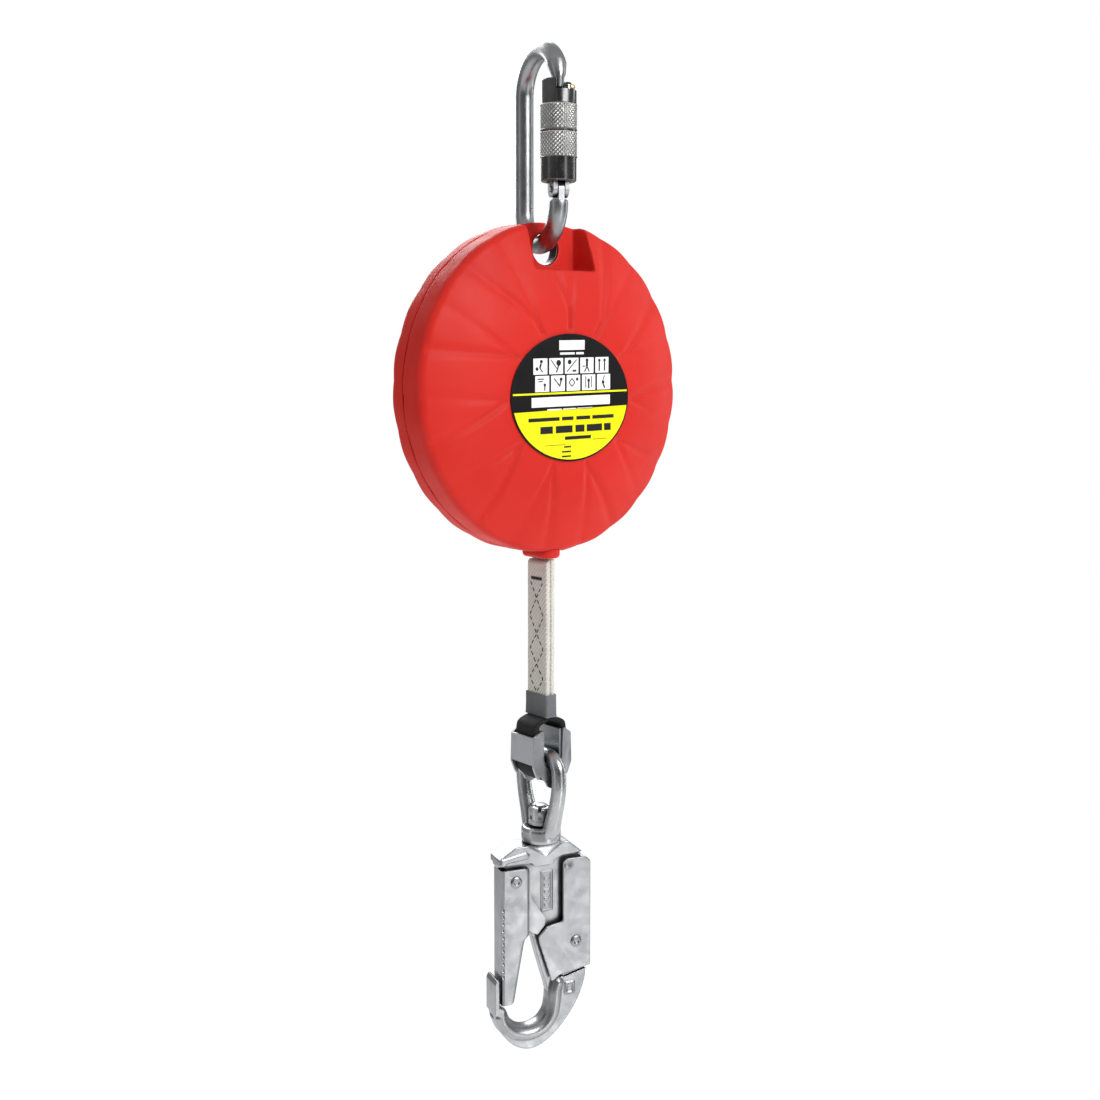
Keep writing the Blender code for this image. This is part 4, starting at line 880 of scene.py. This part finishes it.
def make_ply(name, x0, x1, top, fold):
    """One layer of the strap, with yarn relief; with fold 1 it is rounded over at its top."""
    half_x, mid = (x1 - x0) / 2, (x0 + x1) / 2
    section = rounded_box(half_x, STRAP_HALF, min(1.3, half_x * 0.9), 132)
    round_length = 2 * (2 * half_x + 2 * STRAP_HALF)
    rings = []
    for i in range(PLY_ROWS + 1):
        z = STRAP_BOTTOM + (top - STRAP_BOTTOM) * i / PLY_ROWS
        near_top = min(1.0, max(0.0, (top - z) / 2.4))
        squeeze = sqrt(max(0.03, 1 - (1 - near_top) ** 2)) if fold else 1.0
        centre = mid + fold * half_x * (1 - squeeze) * 0.6
        sway = 0.07 * sin((z - STRAP_TOP) / 19.0)
        waist = 0.985 + 0.006 * sin(z / 3.1)
        ring = []
        for k, (x, y) in enumerate(section):
            lift = 0.10 * weave(k / len(section) * round_length, z, 1.15, 1.5) - 0.10
            lift += 0.05 * noise.noise(Vector((x, y, z)) * 0.35)
            size = max(hypot(x / half_x, y / STRAP_HALF), 0.1)
            nx, ny = x / half_x ** 2, y / STRAP_HALF ** 2
            push = 0.9 * lift / max(hypot(nx, ny), 1e-6)
            ring.append((centre + x * squeeze + push * nx * size, y * waist + push * ny + sway, z))
        rings.append(ring)
    ply = Piece(name, loft(rings), "cream", angle=80)
    ply.paint("edge", lambda face: abs(face.normal.y) > 0.75)
    return ply


CROSSINGS = (-276.8, -295.8, -312.1, -326.8)
THREAD_ROW = 0.1


def stitch_path(z_low, z_high, sign):
    """One of the two crossing zigzags of thread, along the strap."""
    points = []
    z = z_high
    while z >= z_low:
        k = 0
        while k < len(CROSSINGS) - 2 and z < CROSSINGS[k + 1]:
            k += 1
        wave = (CROSSINGS[k] - z) / (CROSSINGS[k] - CROSSINGS[k + 1]) + k
        points.append((sign * 5.6 * (abs((wave + 0.5) % 2.0 - 1.0) * 2 - 1.0), z))
        z -= THREAD_ROW
    return points


def capsule(bm, start, end, radius, sides=8):
    """A stitch with rounded ends, added to the mesh."""
    start, end = Vector(start), Vector(end)
    axis = (end - start).normalized()
    side = axis.orthogonal().normalized()
    other = axis.cross(side)
    rings = []
    for t, r in ((0.0, 0.35), (0.12, 0.8), (0.3, 1.0), (0.7, 1.0), (0.88, 0.8), (1.0, 0.35)):
        centre = start.lerp(end, t)
        rings.append([centre + u * side + v * other
                      for u, v in circle(0.0, 0.0, radius * r, sides)])
    loft(rings, bm=bm)


def make_stitching():
    """Black thread: two crossing zigzags and a bar tack, sewn through from face to face."""
    bm = bmesh.new()
    stitch, step = 20, 31
    for x in (-3.02, 3.02):
        for sign in (-1, 1):
            path = stitch_path(BAND_TOP + 0.8, -268.5, sign)
            for k in range(0, len(path) - stitch, step):
                capsule(bm, (x, *path[k]), (x, *path[k + stitch]), 0.27)
        for k in range(9):
            y = -4.2 + k * 1.0
            capsule(bm, (x, y, -265.5), (x, y + 0.35, -267.3), 0.33)
            capsule(bm, (x, y + 0.35, -265.6), (x, y, -267.2), 0.33)
    Piece("strap_stitching", bm, "thread", angle=60).place("lifeline", "sewn_strap", replace=False)


def make_webbing():
    rear = make_ply("sewn_strap_rear_ply", 0.04, 3.0, STRAP_TOP - 0.05, 0)
    rear.place("lifeline", "sewn_strap")
    folded = make_ply("sewn_strap_folded_ply", -3.0, -0.04, STRAP_TOP - 0.6, 1)
    folded.place("lifeline", "sewn_strap", replace=False)
    make_stitching()

    rings = []
    for t, z, push in ((3.45, BAND_TOP, 0), (3.58, BAND_TOP - 0.1, 0), (3.64, -328.0, 0.1),
                       (3.6, -330.5, 0.14), (3.62, -333.0, 0.16), (3.68, -335.5, 0.14),
                       (3.72, -338.0, 0.1), (3.8, -339.0, 0), (3.75, -339.35, 0),
                       (3.6, STRAP_BOTTOM, 0), (3.15, STRAP_BOTTOM, 0), (3.15, BAND_TOP, 0)):
        ring = []
        for x, y in rounded_box(t, t + 5.5, 1.2, 96):
            wave = push * noise.noise(Vector((x * 0.5, y * 0.5, z * 0.4))) - push * 0.5
            ring.append((x * (1 + wave * 0.2), y * (1 + wave * 0.06), z))
        rings.append(ring)
    band = Piece("grey_shrink_band", loft(rings, closed=True), "grey")
    band.place("lifeline", "shrink_band")
    make_loop()
    make_paid_out_webbing()


def make_paid_out_webbing():
    """Run of webbing that grows out of the nozzle."""
    section = rounded_box(1.3, STRAP_HALF, 0.9, 96)
    rings = []
    for k in range(25):
        z = -251.15 - 4.55 * k / 24
        ring = []
        for x, y in section:
            side = 1 if y > 0 else -1
            ring.append((0.05 + x * (1 + 0.05 * sin(5 * z)),
                         y + 0.1 * side * (weave(x, z, 0.9, 1.2) - 1.0), z))
        rings.append(ring)
    run = Piece("paid_out_webbing", loft(rings), "cream", angle=80).obj
    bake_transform(run)
    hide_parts("webbing_run")


def mirrored(points):
    """The same line on the other side of x = 0, run the other way."""
    return [(-x, z) for x, z in reversed(points)]


def teardrop(radius, shoulder):
    side = shoulder + [(radius, shoulder[-1][1] - 6.0)]
    return side + arc(0, EYE_Z - 2.6, radius, 0, -180, 12) + mirrored(side)


def make_loop():
    """Black woven sleeve round the webbing loop, with real cord relief."""
    top = STRAP_BOTTOM - 0.3
    outer = teardrop(11.05, [(3.6, top), (9.3, top - 2.0), (11.05, top - 5.2)])
    inner = teardrop(6.95, [(0.35, top - 1.5), (5.6, top - 3.4), (6.95, top - 5.6)])
    section = rounded_box(1.0, 1.0, 0.45, 84)
    rings = []
    for i, ((ox, oz), (ix, iz)) in enumerate(zip(smooth_path(outer + outer[:1], 11)[:-1],
                                                 smooth_path(inner + inner[:1], 11)[:-1])):
        thick = hypot(ox - ix, oz - iz)
        ux, uz = (ox - ix) / thick, (oz - iz) / thick
        ring = []
        for k, (u, v) in enumerate(section):
            on_top = u > 0 or abs(v) > 0.9
            lift = 0.16 * (weave(k * 0.55, i * 0.5, 1.1, 1.4) - 1.0) if on_top else 0
            off = u * (thick / 2 + lift)
            ring.append(((ox + ix) / 2 + ux * off, v * (8.2 + lift), (oz + iz) / 2 + uz * off))
        rings.append(ring)
    sleeve = Piece("black_wear_sleeve", loft(rings, closed=True), "black", angle=80)
    sleeve.place("lifeline", "wear_sleeve_loop")


def make_thimble():
    z = EYE_Z
    top = z + 14.0
    saddle_in = arc(0, z, 5.1, 0, -180, 28)
    saddle = [(6.6, top), *arc(0, z - 2.6, 6.6, 0, -180, 28), (-6.6, top), (-5.1, top),
              *reversed(saddle_in), (5.1, top)]
    thimble = Piece("sheet_metal_thimble", plate(saddle, -8.9, 8.9), "sheet")
    flank = [(6.8, z + 15.5), (12.4, z + 11.5), (12.9, z - 4.0), (9.0, z - 13.0)]
    wall = fillet(flank, 2.0) + arc(0, z - 12.4, 4.4, -10, -170, 20)
    wall += fillet(mirrored(flank), 2.0) + arc(0, z, 6.5, 180, 360, 28)
    cover = [(11.4, z + 11.7), (12.6, z + 11.6), (12.8, z - 3.0), (11.5, z - 3.0)]
    for side in (-1, 1):
        thimble.fuse(plate(wall, side * 8.5, side * 9.8))
    for side in (-1, 1):
        thimble.fuse(plate([(side * x, height) for x, height in cover], -9.4, 9.4))
    thimble.soften(0.45, 4, 35).place("lifeline", "thimble")


# ---------------------------------------------------------------- swivel eye
COLLAR_TOP, COLLAR_BOTTOM, COLLAR_R = -399.0, -407.4, 10.5


def make_swivel():
    z = EYE_Z
    half = [(0.0, z), (5.6, z)]
    half += [(5.8 + 9.0 * sin(radians(a)), z - 9.0 + 9.0 * cos(radians(a)))
             for a in (22, 45, 68, 90)]
    half += [(14.8, z - 16.0), (13.4, z - 24.0), (10.9, z - 32.0), (8.9, z - 38.5),
             (7.4, COLLAR_BOTTOM + 5.5)]
    path = smooth_path(mirrored(half[1:]) + half, 8)
    radii = [3.9 + 0.9 * min(1.0, max(0.0, (-380.0 - height) / 20.0)) ** 1.5
             for height in (point[1] for point in path)]
    body = Piece("forged_swivel_eye", sweep_yz(path, radii, 32), "forged")
    body.fuse(turned("Z", [(0.01, COLLAR_BOTTOM), (9.6, COLLAR_BOTTOM), (10.3, COLLAR_BOTTOM + 0.7),
                           (COLLAR_R, COLLAR_BOTTOM + 1.8), (COLLAR_R, COLLAR_TOP - 1.6),
                           (10.1, COLLAR_TOP - 0.5), (9.2, COLLAR_TOP), (0.01, COLLAR_TOP)]))
    body.cut(bar("Z", 3.9, COLLAR_BOTTOM - 2, COLLAR_TOP + 0.2, steps=48))
    body.cut(bar("Z", 7.4, COLLAR_TOP + 0.05, COLLAR_TOP + 12.5, steps=48))
    body.cut(bar("X", 0.9, -12, -9, 4.0, COLLAR_BOTTOM + 4.6, 24))
    body.remesh(0.42).smooth(4).place("eye", "swivel_eye")

    stud = turned("Z", [(3.5, -415.7), (3.5, COLLAR_TOP + 10.2), (3.1, COLLAR_TOP + 11.0),
                        (2.4, COLLAR_TOP + 11.2)], steps=40)
    Piece("swivel_stud_end", stud, "forged").place("hook", "swivel_stud")
    profile = [(3.75, 0.5), (6.3, 0.5), (6.8, 1.0), (6.8, 2.6), (6.35, 3.0), (6.35, 3.5),
               (6.8, 3.9), (6.8, 8.6), (6.4, 9.6), (5.8, 10.2), (3.75, 10.2)]
    nut = Piece("round_stud_nut", turned("Z", [(r, COLLAR_TOP + rise) for r, rise in profile],
                                         ring=True), "forged")
    pin_z = COLLAR_TOP + 5.0
    nut.cut(bar("X", 1.1, -9, 9, 0, pin_z))
    for angle in (45, 135):
        slot = block(-9, 9, -0.9, 0.9, COLLAR_TOP + 8.4, COLLAR_TOP + 12)
        nut.cut(Piece("tool", slot, "dark", Matrix.Rotation(radians(angle), 4, "Z")))
    nut.soften(0.25, 3, 35).place("hook", "stud_nut")
    pin = turned("X", [(0.5, -6.9), (0.8, -6.6), (0.8, 6.6), (0.5, 6.9)], 0, pin_z, 24)
    Piece("nut_locking_pin", pin, "dark").place("hook", "nut_cross_pin")


# ---------------------------------------------------------------- snap hook
HOOK_TOP = -407.7
GATE_PIVOT, LEVER_PIVOT, PIVOT_BORE = (-16.8, -426.3), (17.5, -463.2), 2.1
BOWL_OUT = [(24.4, -480.0), (23.3, -487.0), (19.5, -496.5), (13.0, -506.0), (4.0, -514.7),
            (-6.3, -519.3), (-15.5, -517.2), (-22.5, -511.0), (-27.2, -503.0), (-29.1, -495.0)]
BEAD = [(10.2, -482.6), (8.2, -485.6), (6.9, -489.8), (6.3, -496.4), (4.7, -503.1), (-0.3, -508.9),
        (-8.0, -511.3), (-15.8, -509.8), (-21.9, -504.8), (-24.7, -499.0), (-25.6, -496.8)]
NOSE = [(-29.1, -497.0), (-29.1, -480.0), (-27.9, -477.6), (-26.4, -478.4), (-26.2, -493.2),
        (-23.5, -494.4), (-23.5, -499.0)]
WEB_TOP = [(-26.5, -413.5), (-17.0, HOOK_TOP), (13.0, HOOK_TOP), (22.5, -415.5), (15.5, -419.0),
           (15.5, -448.0), (22.0, -458.0), (24.0, -470.0)]
WEB_INSIDE = [(2.3, -489.4), (1.9, -487.0), (-3.4, -469.5), (-6.3, -458.4), (-7.7, -456.0),
              (-7.7, -436.0), (-10.5, -431.0), (-15.0, -431.5), (-19.0, -430.8), (-21.6, -428.0),
              (-22.0, -419.5), (-26.5, -418.0)]
HEAD = [(-26.5, -413.5), (-17.0, HOOK_TOP), (13.0, HOOK_TOP), (21.5, -414.6), (9.0, -415.2),
        (5.2, -417.0), (4.4, -419.4), (-6.4, -419.4), (-8.0, -417.3), (-26.5, -416.8)]
LEDGE = [(-25.8, -416.6), (-25.4, -413.6), (-11.4, -411.2), (-9.4, -412.6), (-10.6, -414.2),
         (-22.6, -415.4), (-23.2, -416.8)]


def bead_rings():
    """Rounded bar round the inside of the bowl."""
    path = smooth_path(BEAD, 8)
    rings = []
    for i, (x, z) in enumerate(path):
        nx, nz = between(path, i)
        end = min(1.0, 0.55 + 0.12 * min(i, len(path) - 1 - i) ** 0.7)
        rings.append([(x + nx * 4.4 * u, 6.45 * v, z + nz * 4.4 * u)
                      for u, v in circle(0.0, 0.0, end, 32)])
    return rings


def make_hook_body():
    bowl = smooth_path(BOWL_OUT, 6) + [(-26.2, -496.4)]
    web = WEB_TOP + bowl + list(reversed(BEAD[2:-1])) + WEB_INSIDE
    flange = bowl + list(reversed(smooth_path(BEAD[:-1], 6))) + [(12.0, -483.0)]
    solids = [plate(web, -3.0, 3.0), plate(flange, -4.7, 4.7), loft(bead_rings()),
              plate(NOSE, -6.4, 6.4), plate(HEAD, -6.5, 6.5)]
    panel = [(-1.2, -424.0), (5.1, -423.6), (5.1, -445.2), (-1.2, -445.6)]
    panel_in = [(-0.4, -424.8), (4.3, -424.4), (4.3, -444.4), (-0.4, -444.8)]
    square = fillet([(12.0, -486.2), (17.4, -486.2), (17.4, -492.6), (12.0, -492.6)], 0.6)
    square_in = fillet([(12.9, -487.1), (16.5, -487.1), (16.5, -491.7), (12.9, -491.7)], 0.4)
    for side in (-1, 1):
        solids.append(frame_ring(panel, panel_in, side * 2.0, side * 3.3))
        for k in range(5):
            z = -427.5 - 3.6 * k
            rib = fillet([(0.7, z), (3.3, z + 0.1), (3.3, z - 1.4), (0.7, z - 1.5)], 0.5)
            solids.append(plate(rib, side * 2.0, side * 3.3))
        solids.append(plate(fillet(LEDGE, 0.8), side * 5.0, side * 7.1))
        solids.append(frame_ring(square, square_in, side * 4.0, side * 5.3))
    body = Piece("cast_hook_body", joined(solids), "cast", HOOK).remesh(0.34).bake()
    body.cut(bar("Z", 3.8, HOOK_TOP - 8.4, HOOK_TOP + 4))
    for pivot in (GATE_PIVOT, LEVER_PIVOT):
        body.cut(bar("Y", PIVOT_BORE, -9, 9, *pivot, 28))
    top = HOOK_TOP + 1
    relief = [(-11.0, top), (11.0, top), (10.6, -408.4), (1.2, -414.3), (-0.8, -414.3),
              (-10.6, -408.4)]
    deep = [(x * 0.82, top + (z - top) * 0.82) for x, z in relief]
    for side in (-1, 1):
        body.cut(stack("Y", [(side * 6.9, relief), (side * 5.2, deep)]))
    body.smooth(4).place("hook", "hook_body")


def channel(x_right):
    """Bent U section of the gate, open at its right, where its lips are turned in."""
    x_left, half, wall, lip, bend, back_bend = -24.9, 6.5, 1.45, 3.7, 2.4, 1.7

    def run(inset, back_radius):
        line = [(x_right - inset, lip)]
        line += arc(x_right - bend, half - bend, bend - inset, 0, 90, 5)
        return line + arc(x_left + back_bend, half - back_bend, back_radius, 90, 180, 5)

    outer, inner = run(0.0, back_bend), run(wall, back_bend - wall)
    outer = [(x, -y) for x, y in outer] + outer[::-1]
    inner = [(x, -y) for x, y in inner] + inner[::-1]
    return outer + inner[::-1]


def make_hook_gate():
    levels = [(-419.7, -10.6), (-420.0, -9.6), (-420.6, -8.9), (-421.6, -8.6), (-425, -8.6),
              (-440, -8.6), (-455.2, -8.6), (-456.6, -9.0), (-458.6, -11.2), (-461, -11.85),
              (-475, -14.4), (-490, -17.1), (-491.6, -17.5), (-492.4, -18.3)]
    gate = Piece("sheet_hook_gate", stack("Z", [(z, channel(right)) for z, right in levels]),
                 "cast", HOOK)
    heel = fillet([(-9.6, -430.0), (-7.6, -437.0), (0.3, -448.4), (0.1, -452.6), (-4.2, -457.0),
                   (-9.6, -454.0)], 0.8)
    tip = [(-24.5, -481.0), (-18.6, -481.0), (-17.8, -491.3), (-24.5, -492.3)]
    for side in (-1, 1):
        gate.fuse(plate(heel, side * 3.4, side * 5.2))
    gate.fuse(plate(tip, -5.4, 5.4))
    gate.cut(bar("Y", PIVOT_BORE, -9, 9, *GATE_PIVOT, 28))
    for side in (-1, 1):
        for k in range(11):
            z = -441.0 - 3.6 * k
            notch = [(side * 6.6 + 0.9 * u, z + 1.1 * v) for u, v in circle(0.0, 0.0, 1.0, 12)]
            gate.cut(plate(notch, -25.6, -23.6, "X"))
    gate.soften(0.22, 3, 40).place("hook_gate", "hook_gate")


LEVER_FOLD = Vector((-0.2, -452.9)), Vector((17.8, -478.6))
LEVER_DIMPLE = (12.4, -420.2)


def press_lever(lever):
    """Sinks both cheeks of the lever beyond the fold line, and round one dimple."""
    back = HOOK.inverted()
    along = (LEVER_FOLD[1] - LEVER_FOLD[0]).normalized()
    for vert in lever.obj.data.vertices:
        p = back @ vert.co / MM
        if abs(p.y) < 6.2:
            continue
        offset = Vector((p.x, p.z)) - LEVER_FOLD[0]
        away = along.x * offset.y - along.y * offset.x
        dimple = hypot(p.x - LEVER_DIMPLE[0], p.z - LEVER_DIMPLE[1])
        sink = min(0.85, max(0.0, -away * 0.11)) + 0.8 * exp(-(dimple / 2.3) ** 2)
        side = 1 if p.y > 0 else -1
        vert.co = HOOK @ (Vector((p.x, p.y - side * min(sink, 0.95), p.z)) * MM)


def make_safety_lever():
    outline = [(10.0, -419.4), (12.2, -417.4), (23.4, -417.4), (26.0, -420.0), (26.1, -477.6),
               (8.3, -481.0), (3.9, -484.2), (-3.6, -461.0), (-4.0, -457.8), (0.3, -453.2),
               (10.0, -451.4)]
    outline = fillet(outline, [1.5, 2.5, 3.5, 2.5, 0.8, 3.0, 1.0, 1.5, 1.5, 1.0, 2.0], 6)
    lever = Piece("sheet_safety_lever", plate(outline, -6.9, -5.5), "cast", HOOK)
    lever.fuse(plate(outline, 5.5, 6.9))
    lever.fuse(block(24.6, 26.1, -6.8, 6.8, -477.6, -420.4))
    lever.cut(bar("Y", PIVOT_BORE, -9, 9, *LEVER_PIVOT, 28))
    press_lever(lever.remesh(0.36).bake())
    lever.smooth(3).place("safety_lever", "safety_lever")


def make_hook_rivets():
    for name, pivot, reach in (("hook_gate_rivet", GATE_PIVOT, 6.8),
                               ("safety_lever_rivet", LEVER_PIVOT, 7.2)):
        side = [(0.9, reach + 0.15), (1.4, reach + 0.55), (2.0, reach + 0.6), (2.7, reach + 0.45),
                (3.1, reach + 0.05), (1.8, reach)]
        profile = [(r, -y) for r, y in side] + side[::-1]
        rivet = Piece("peened_" + name, turned("Y", profile, *pivot, 40), "bright", HOOK)
        rivet.place("hook", name)


# ---------------------------------------------------------------- inner pieces
INNER = {
    # The anchor bush takes the dark steel so the inside of the hanging hole reads dark: painted
    # shade.
    "dark": ["anchor_bush", "anchor_plate", "front_frame_plate", "rear_frame_plate", "ratchet_ring",
             "power_spring", "spring_cup", "pressure_plate", "disc_spring_washer",
             "hook_gate_spring", "safety_lever_spring"],
    "forged": ["frame_bolt_1", "frame_bolt_2", "frame_bolt_3", "frame_bolt_4",
               "webbing_guide_bar", "main_shaft", "brake_hub", "brake_nut", "pawl_carrier",
               "pawl_a_pin", "pawl_b_pin", "pawl_a", "pawl_b"],
    "brass": ["bearing_bush"],
    "plastic": ["webbing_drum", "spring_arbor"],
    "lining": ["front_friction_lining", "rear_friction_lining"],
    "cream": ["webbing_lead", "webbing_roll"],
}


def refine(node, look):
    """An inner piece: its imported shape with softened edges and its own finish."""
    bm = bmesh.new()
    source = frame["nodes"][node]
    bm.from_mesh(source.data)
    bm.transform(source.matrix_world)
    bmesh.ops.remove_doubles(bm, verts=bm.verts, dist=0.000002)
    bmesh.ops.dissolve_limit(bm, angle_limit=radians(0.5), verts=bm.verts, edges=bm.edges)
    bm.transform(Matrix.Scale(1 / MM, 4))
    bodies = frame["record"]["behaviour"]["bodies"].items()
    body = next(name for name, nodes in bodies if node in nodes)
    Piece("inner_" + node, bm, look).soften(0.12, 2, 32).place(body, node)


# ---------------------------------------------------------------- studio
FRONT_GLOW = ((0.0, 0.30), (0.3, 0.22), (0.5, 0.26), (0.75, 0.16), (0.9, 0.06), (1.0, 0.05))
UP_GLOW = ((0.0, 0.22), (0.40, 0.10), (0.5, 0.0), (0.60, 0.04), (0.8, 0.28), (1.0, 0.34))
LAMP_AIM = Vector((0, 0, -0.27))


def make_floor():
    """A wide pale disc far below, in millimetres like every piece."""
    disc = bmesh.new()
    bmesh.ops.create_circle(disc, cap_ends=True, segments=96, radius=7500,
                            matrix=Matrix.Translation((0, 0, -3400)))
    pale = Shader("pale_floor", Roughness=0.9, Emission_Color=(1.0, 1.0, 1.0),
                  Emission_Strength=0.88)
    pale.set(Base_Color=pale.ramp(pale.noise(3), (0.3, (0.34, 0.34, 0.34)),
                                  (0.7, (0.36, 0.36, 0.36))))
    LOOKS["floor"] = pale.mat
    Piece("studio_floor", disc, "floor").obj


def make_world():
    """Soft surroundings that things reflect, and plain white behind them for the camera."""
    world = bpy.data.worlds.new("studio")
    bpy.context.scene.world = world
    world.use_nodes = True
    world.node_tree.nodes.clear()
    sky = Nodes(world.node_tree)
    ray = sky.node("TexCoord").outputs["Generated"]
    glows = []
    for direction, levels in (((-0.2, -0.98, 0.0), FRONT_GLOW), ((0.0, 0.0, 1.0), UP_GLOW)):
        dot = sky.node("VectorMath", {0: ray, 1: direction}, operation="DOT_PRODUCT")
        stops = [(place, (level, level, level)) for place, level in levels]
        glows.append(sky.ramp(sky.spread(dot.outputs["Value"], 0.0, 1.0, -1.0, 1.0), *stops))
    total = sky.node("VectorMath", {0: glows[0], 1: glows[1]}).outputs["Vector"]
    soft = sky.node("Background", {"Color": total}).outputs[0]
    white = sky.node("Background", {"Color": (1.0, 1.0, 1.0)}).outputs[0]
    seen = sky.node("LightPath").outputs["Is Camera Ray"]
    both = sky.node("MixShader", {"Fac": seen, 1: soft, 2: white}).outputs[0]
    sky.node("OutputWorld", {"Surface": both})


def make_lamps():
    for name, azimuth, elevation, distance, size, power in (
            ("key_softbox", 6, 32, 1.5, (0.8, 0.8), 14.5),
            ("front_strip", 7, -9, 1.3, (0.30, 1.6), 2.9),
            ("left_strip", -104, 4, 1.3, (0.10, 1.3), 0.7),
            ("right_strip", 78, 4, 1.3, (0.14, 1.4), 3),
            ("back_softbox", 158, 30, 1.5, (0.9, 0.9), 14)):
        lamp = bpy.data.lights.new(name, "AREA")
        lamp.shape = "RECTANGLE"
        lamp.size, lamp.size_y = size
        lamp.energy = power
        obj = bpy.data.objects.new(name, lamp)
        a, e = radians(azimuth - 90), radians(elevation)
        away = distance * Vector((cos(a) * cos(e), sin(a) * cos(e), sin(e)))
        obj.location = LAMP_AIM + away
        obj.rotation_euler = away.to_track_quat("Z", "Y").to_euler()
        bpy.context.scene.collection.objects.link(obj)


def make_camera():
    camera = bpy.data.cameras.new("view")
    camera.sensor_width = 36
    camera.lens = 46.2
    camera.shift_x, camera.shift_y = 0.0082, -0.0638
    camera.clip_start, camera.clip_end = 0.05, 40
    obj = bpy.data.objects.new("view", camera)
    distance, turn = 0.737, radians(-39)
    obj.location = (distance * sin(turn), -distance * cos(turn), -0.158)
    obj.rotation_euler = (radians(85.6), 0, turn)
    bpy.context.scene.collection.objects.link(obj)
    bpy.context.scene.camera = obj


make_carabiner()
make_shell("front_moulding", -1, "front_shell")
make_shell("rear_moulding", 1, "rear_shell")
make_nozzle()
make_label()
make_screws()
make_webbing()
make_thimble()
make_swivel()
make_hook_body()
make_hook_gate()
make_safety_lever()
make_hook_rivets()
for look, nodes in INNER.items():
    for node in nodes:
        refine(node, look)
make_floor()
bpy.context.scene.view_settings.view_transform = "Standard"
make_world()
make_lamps()
make_camera()
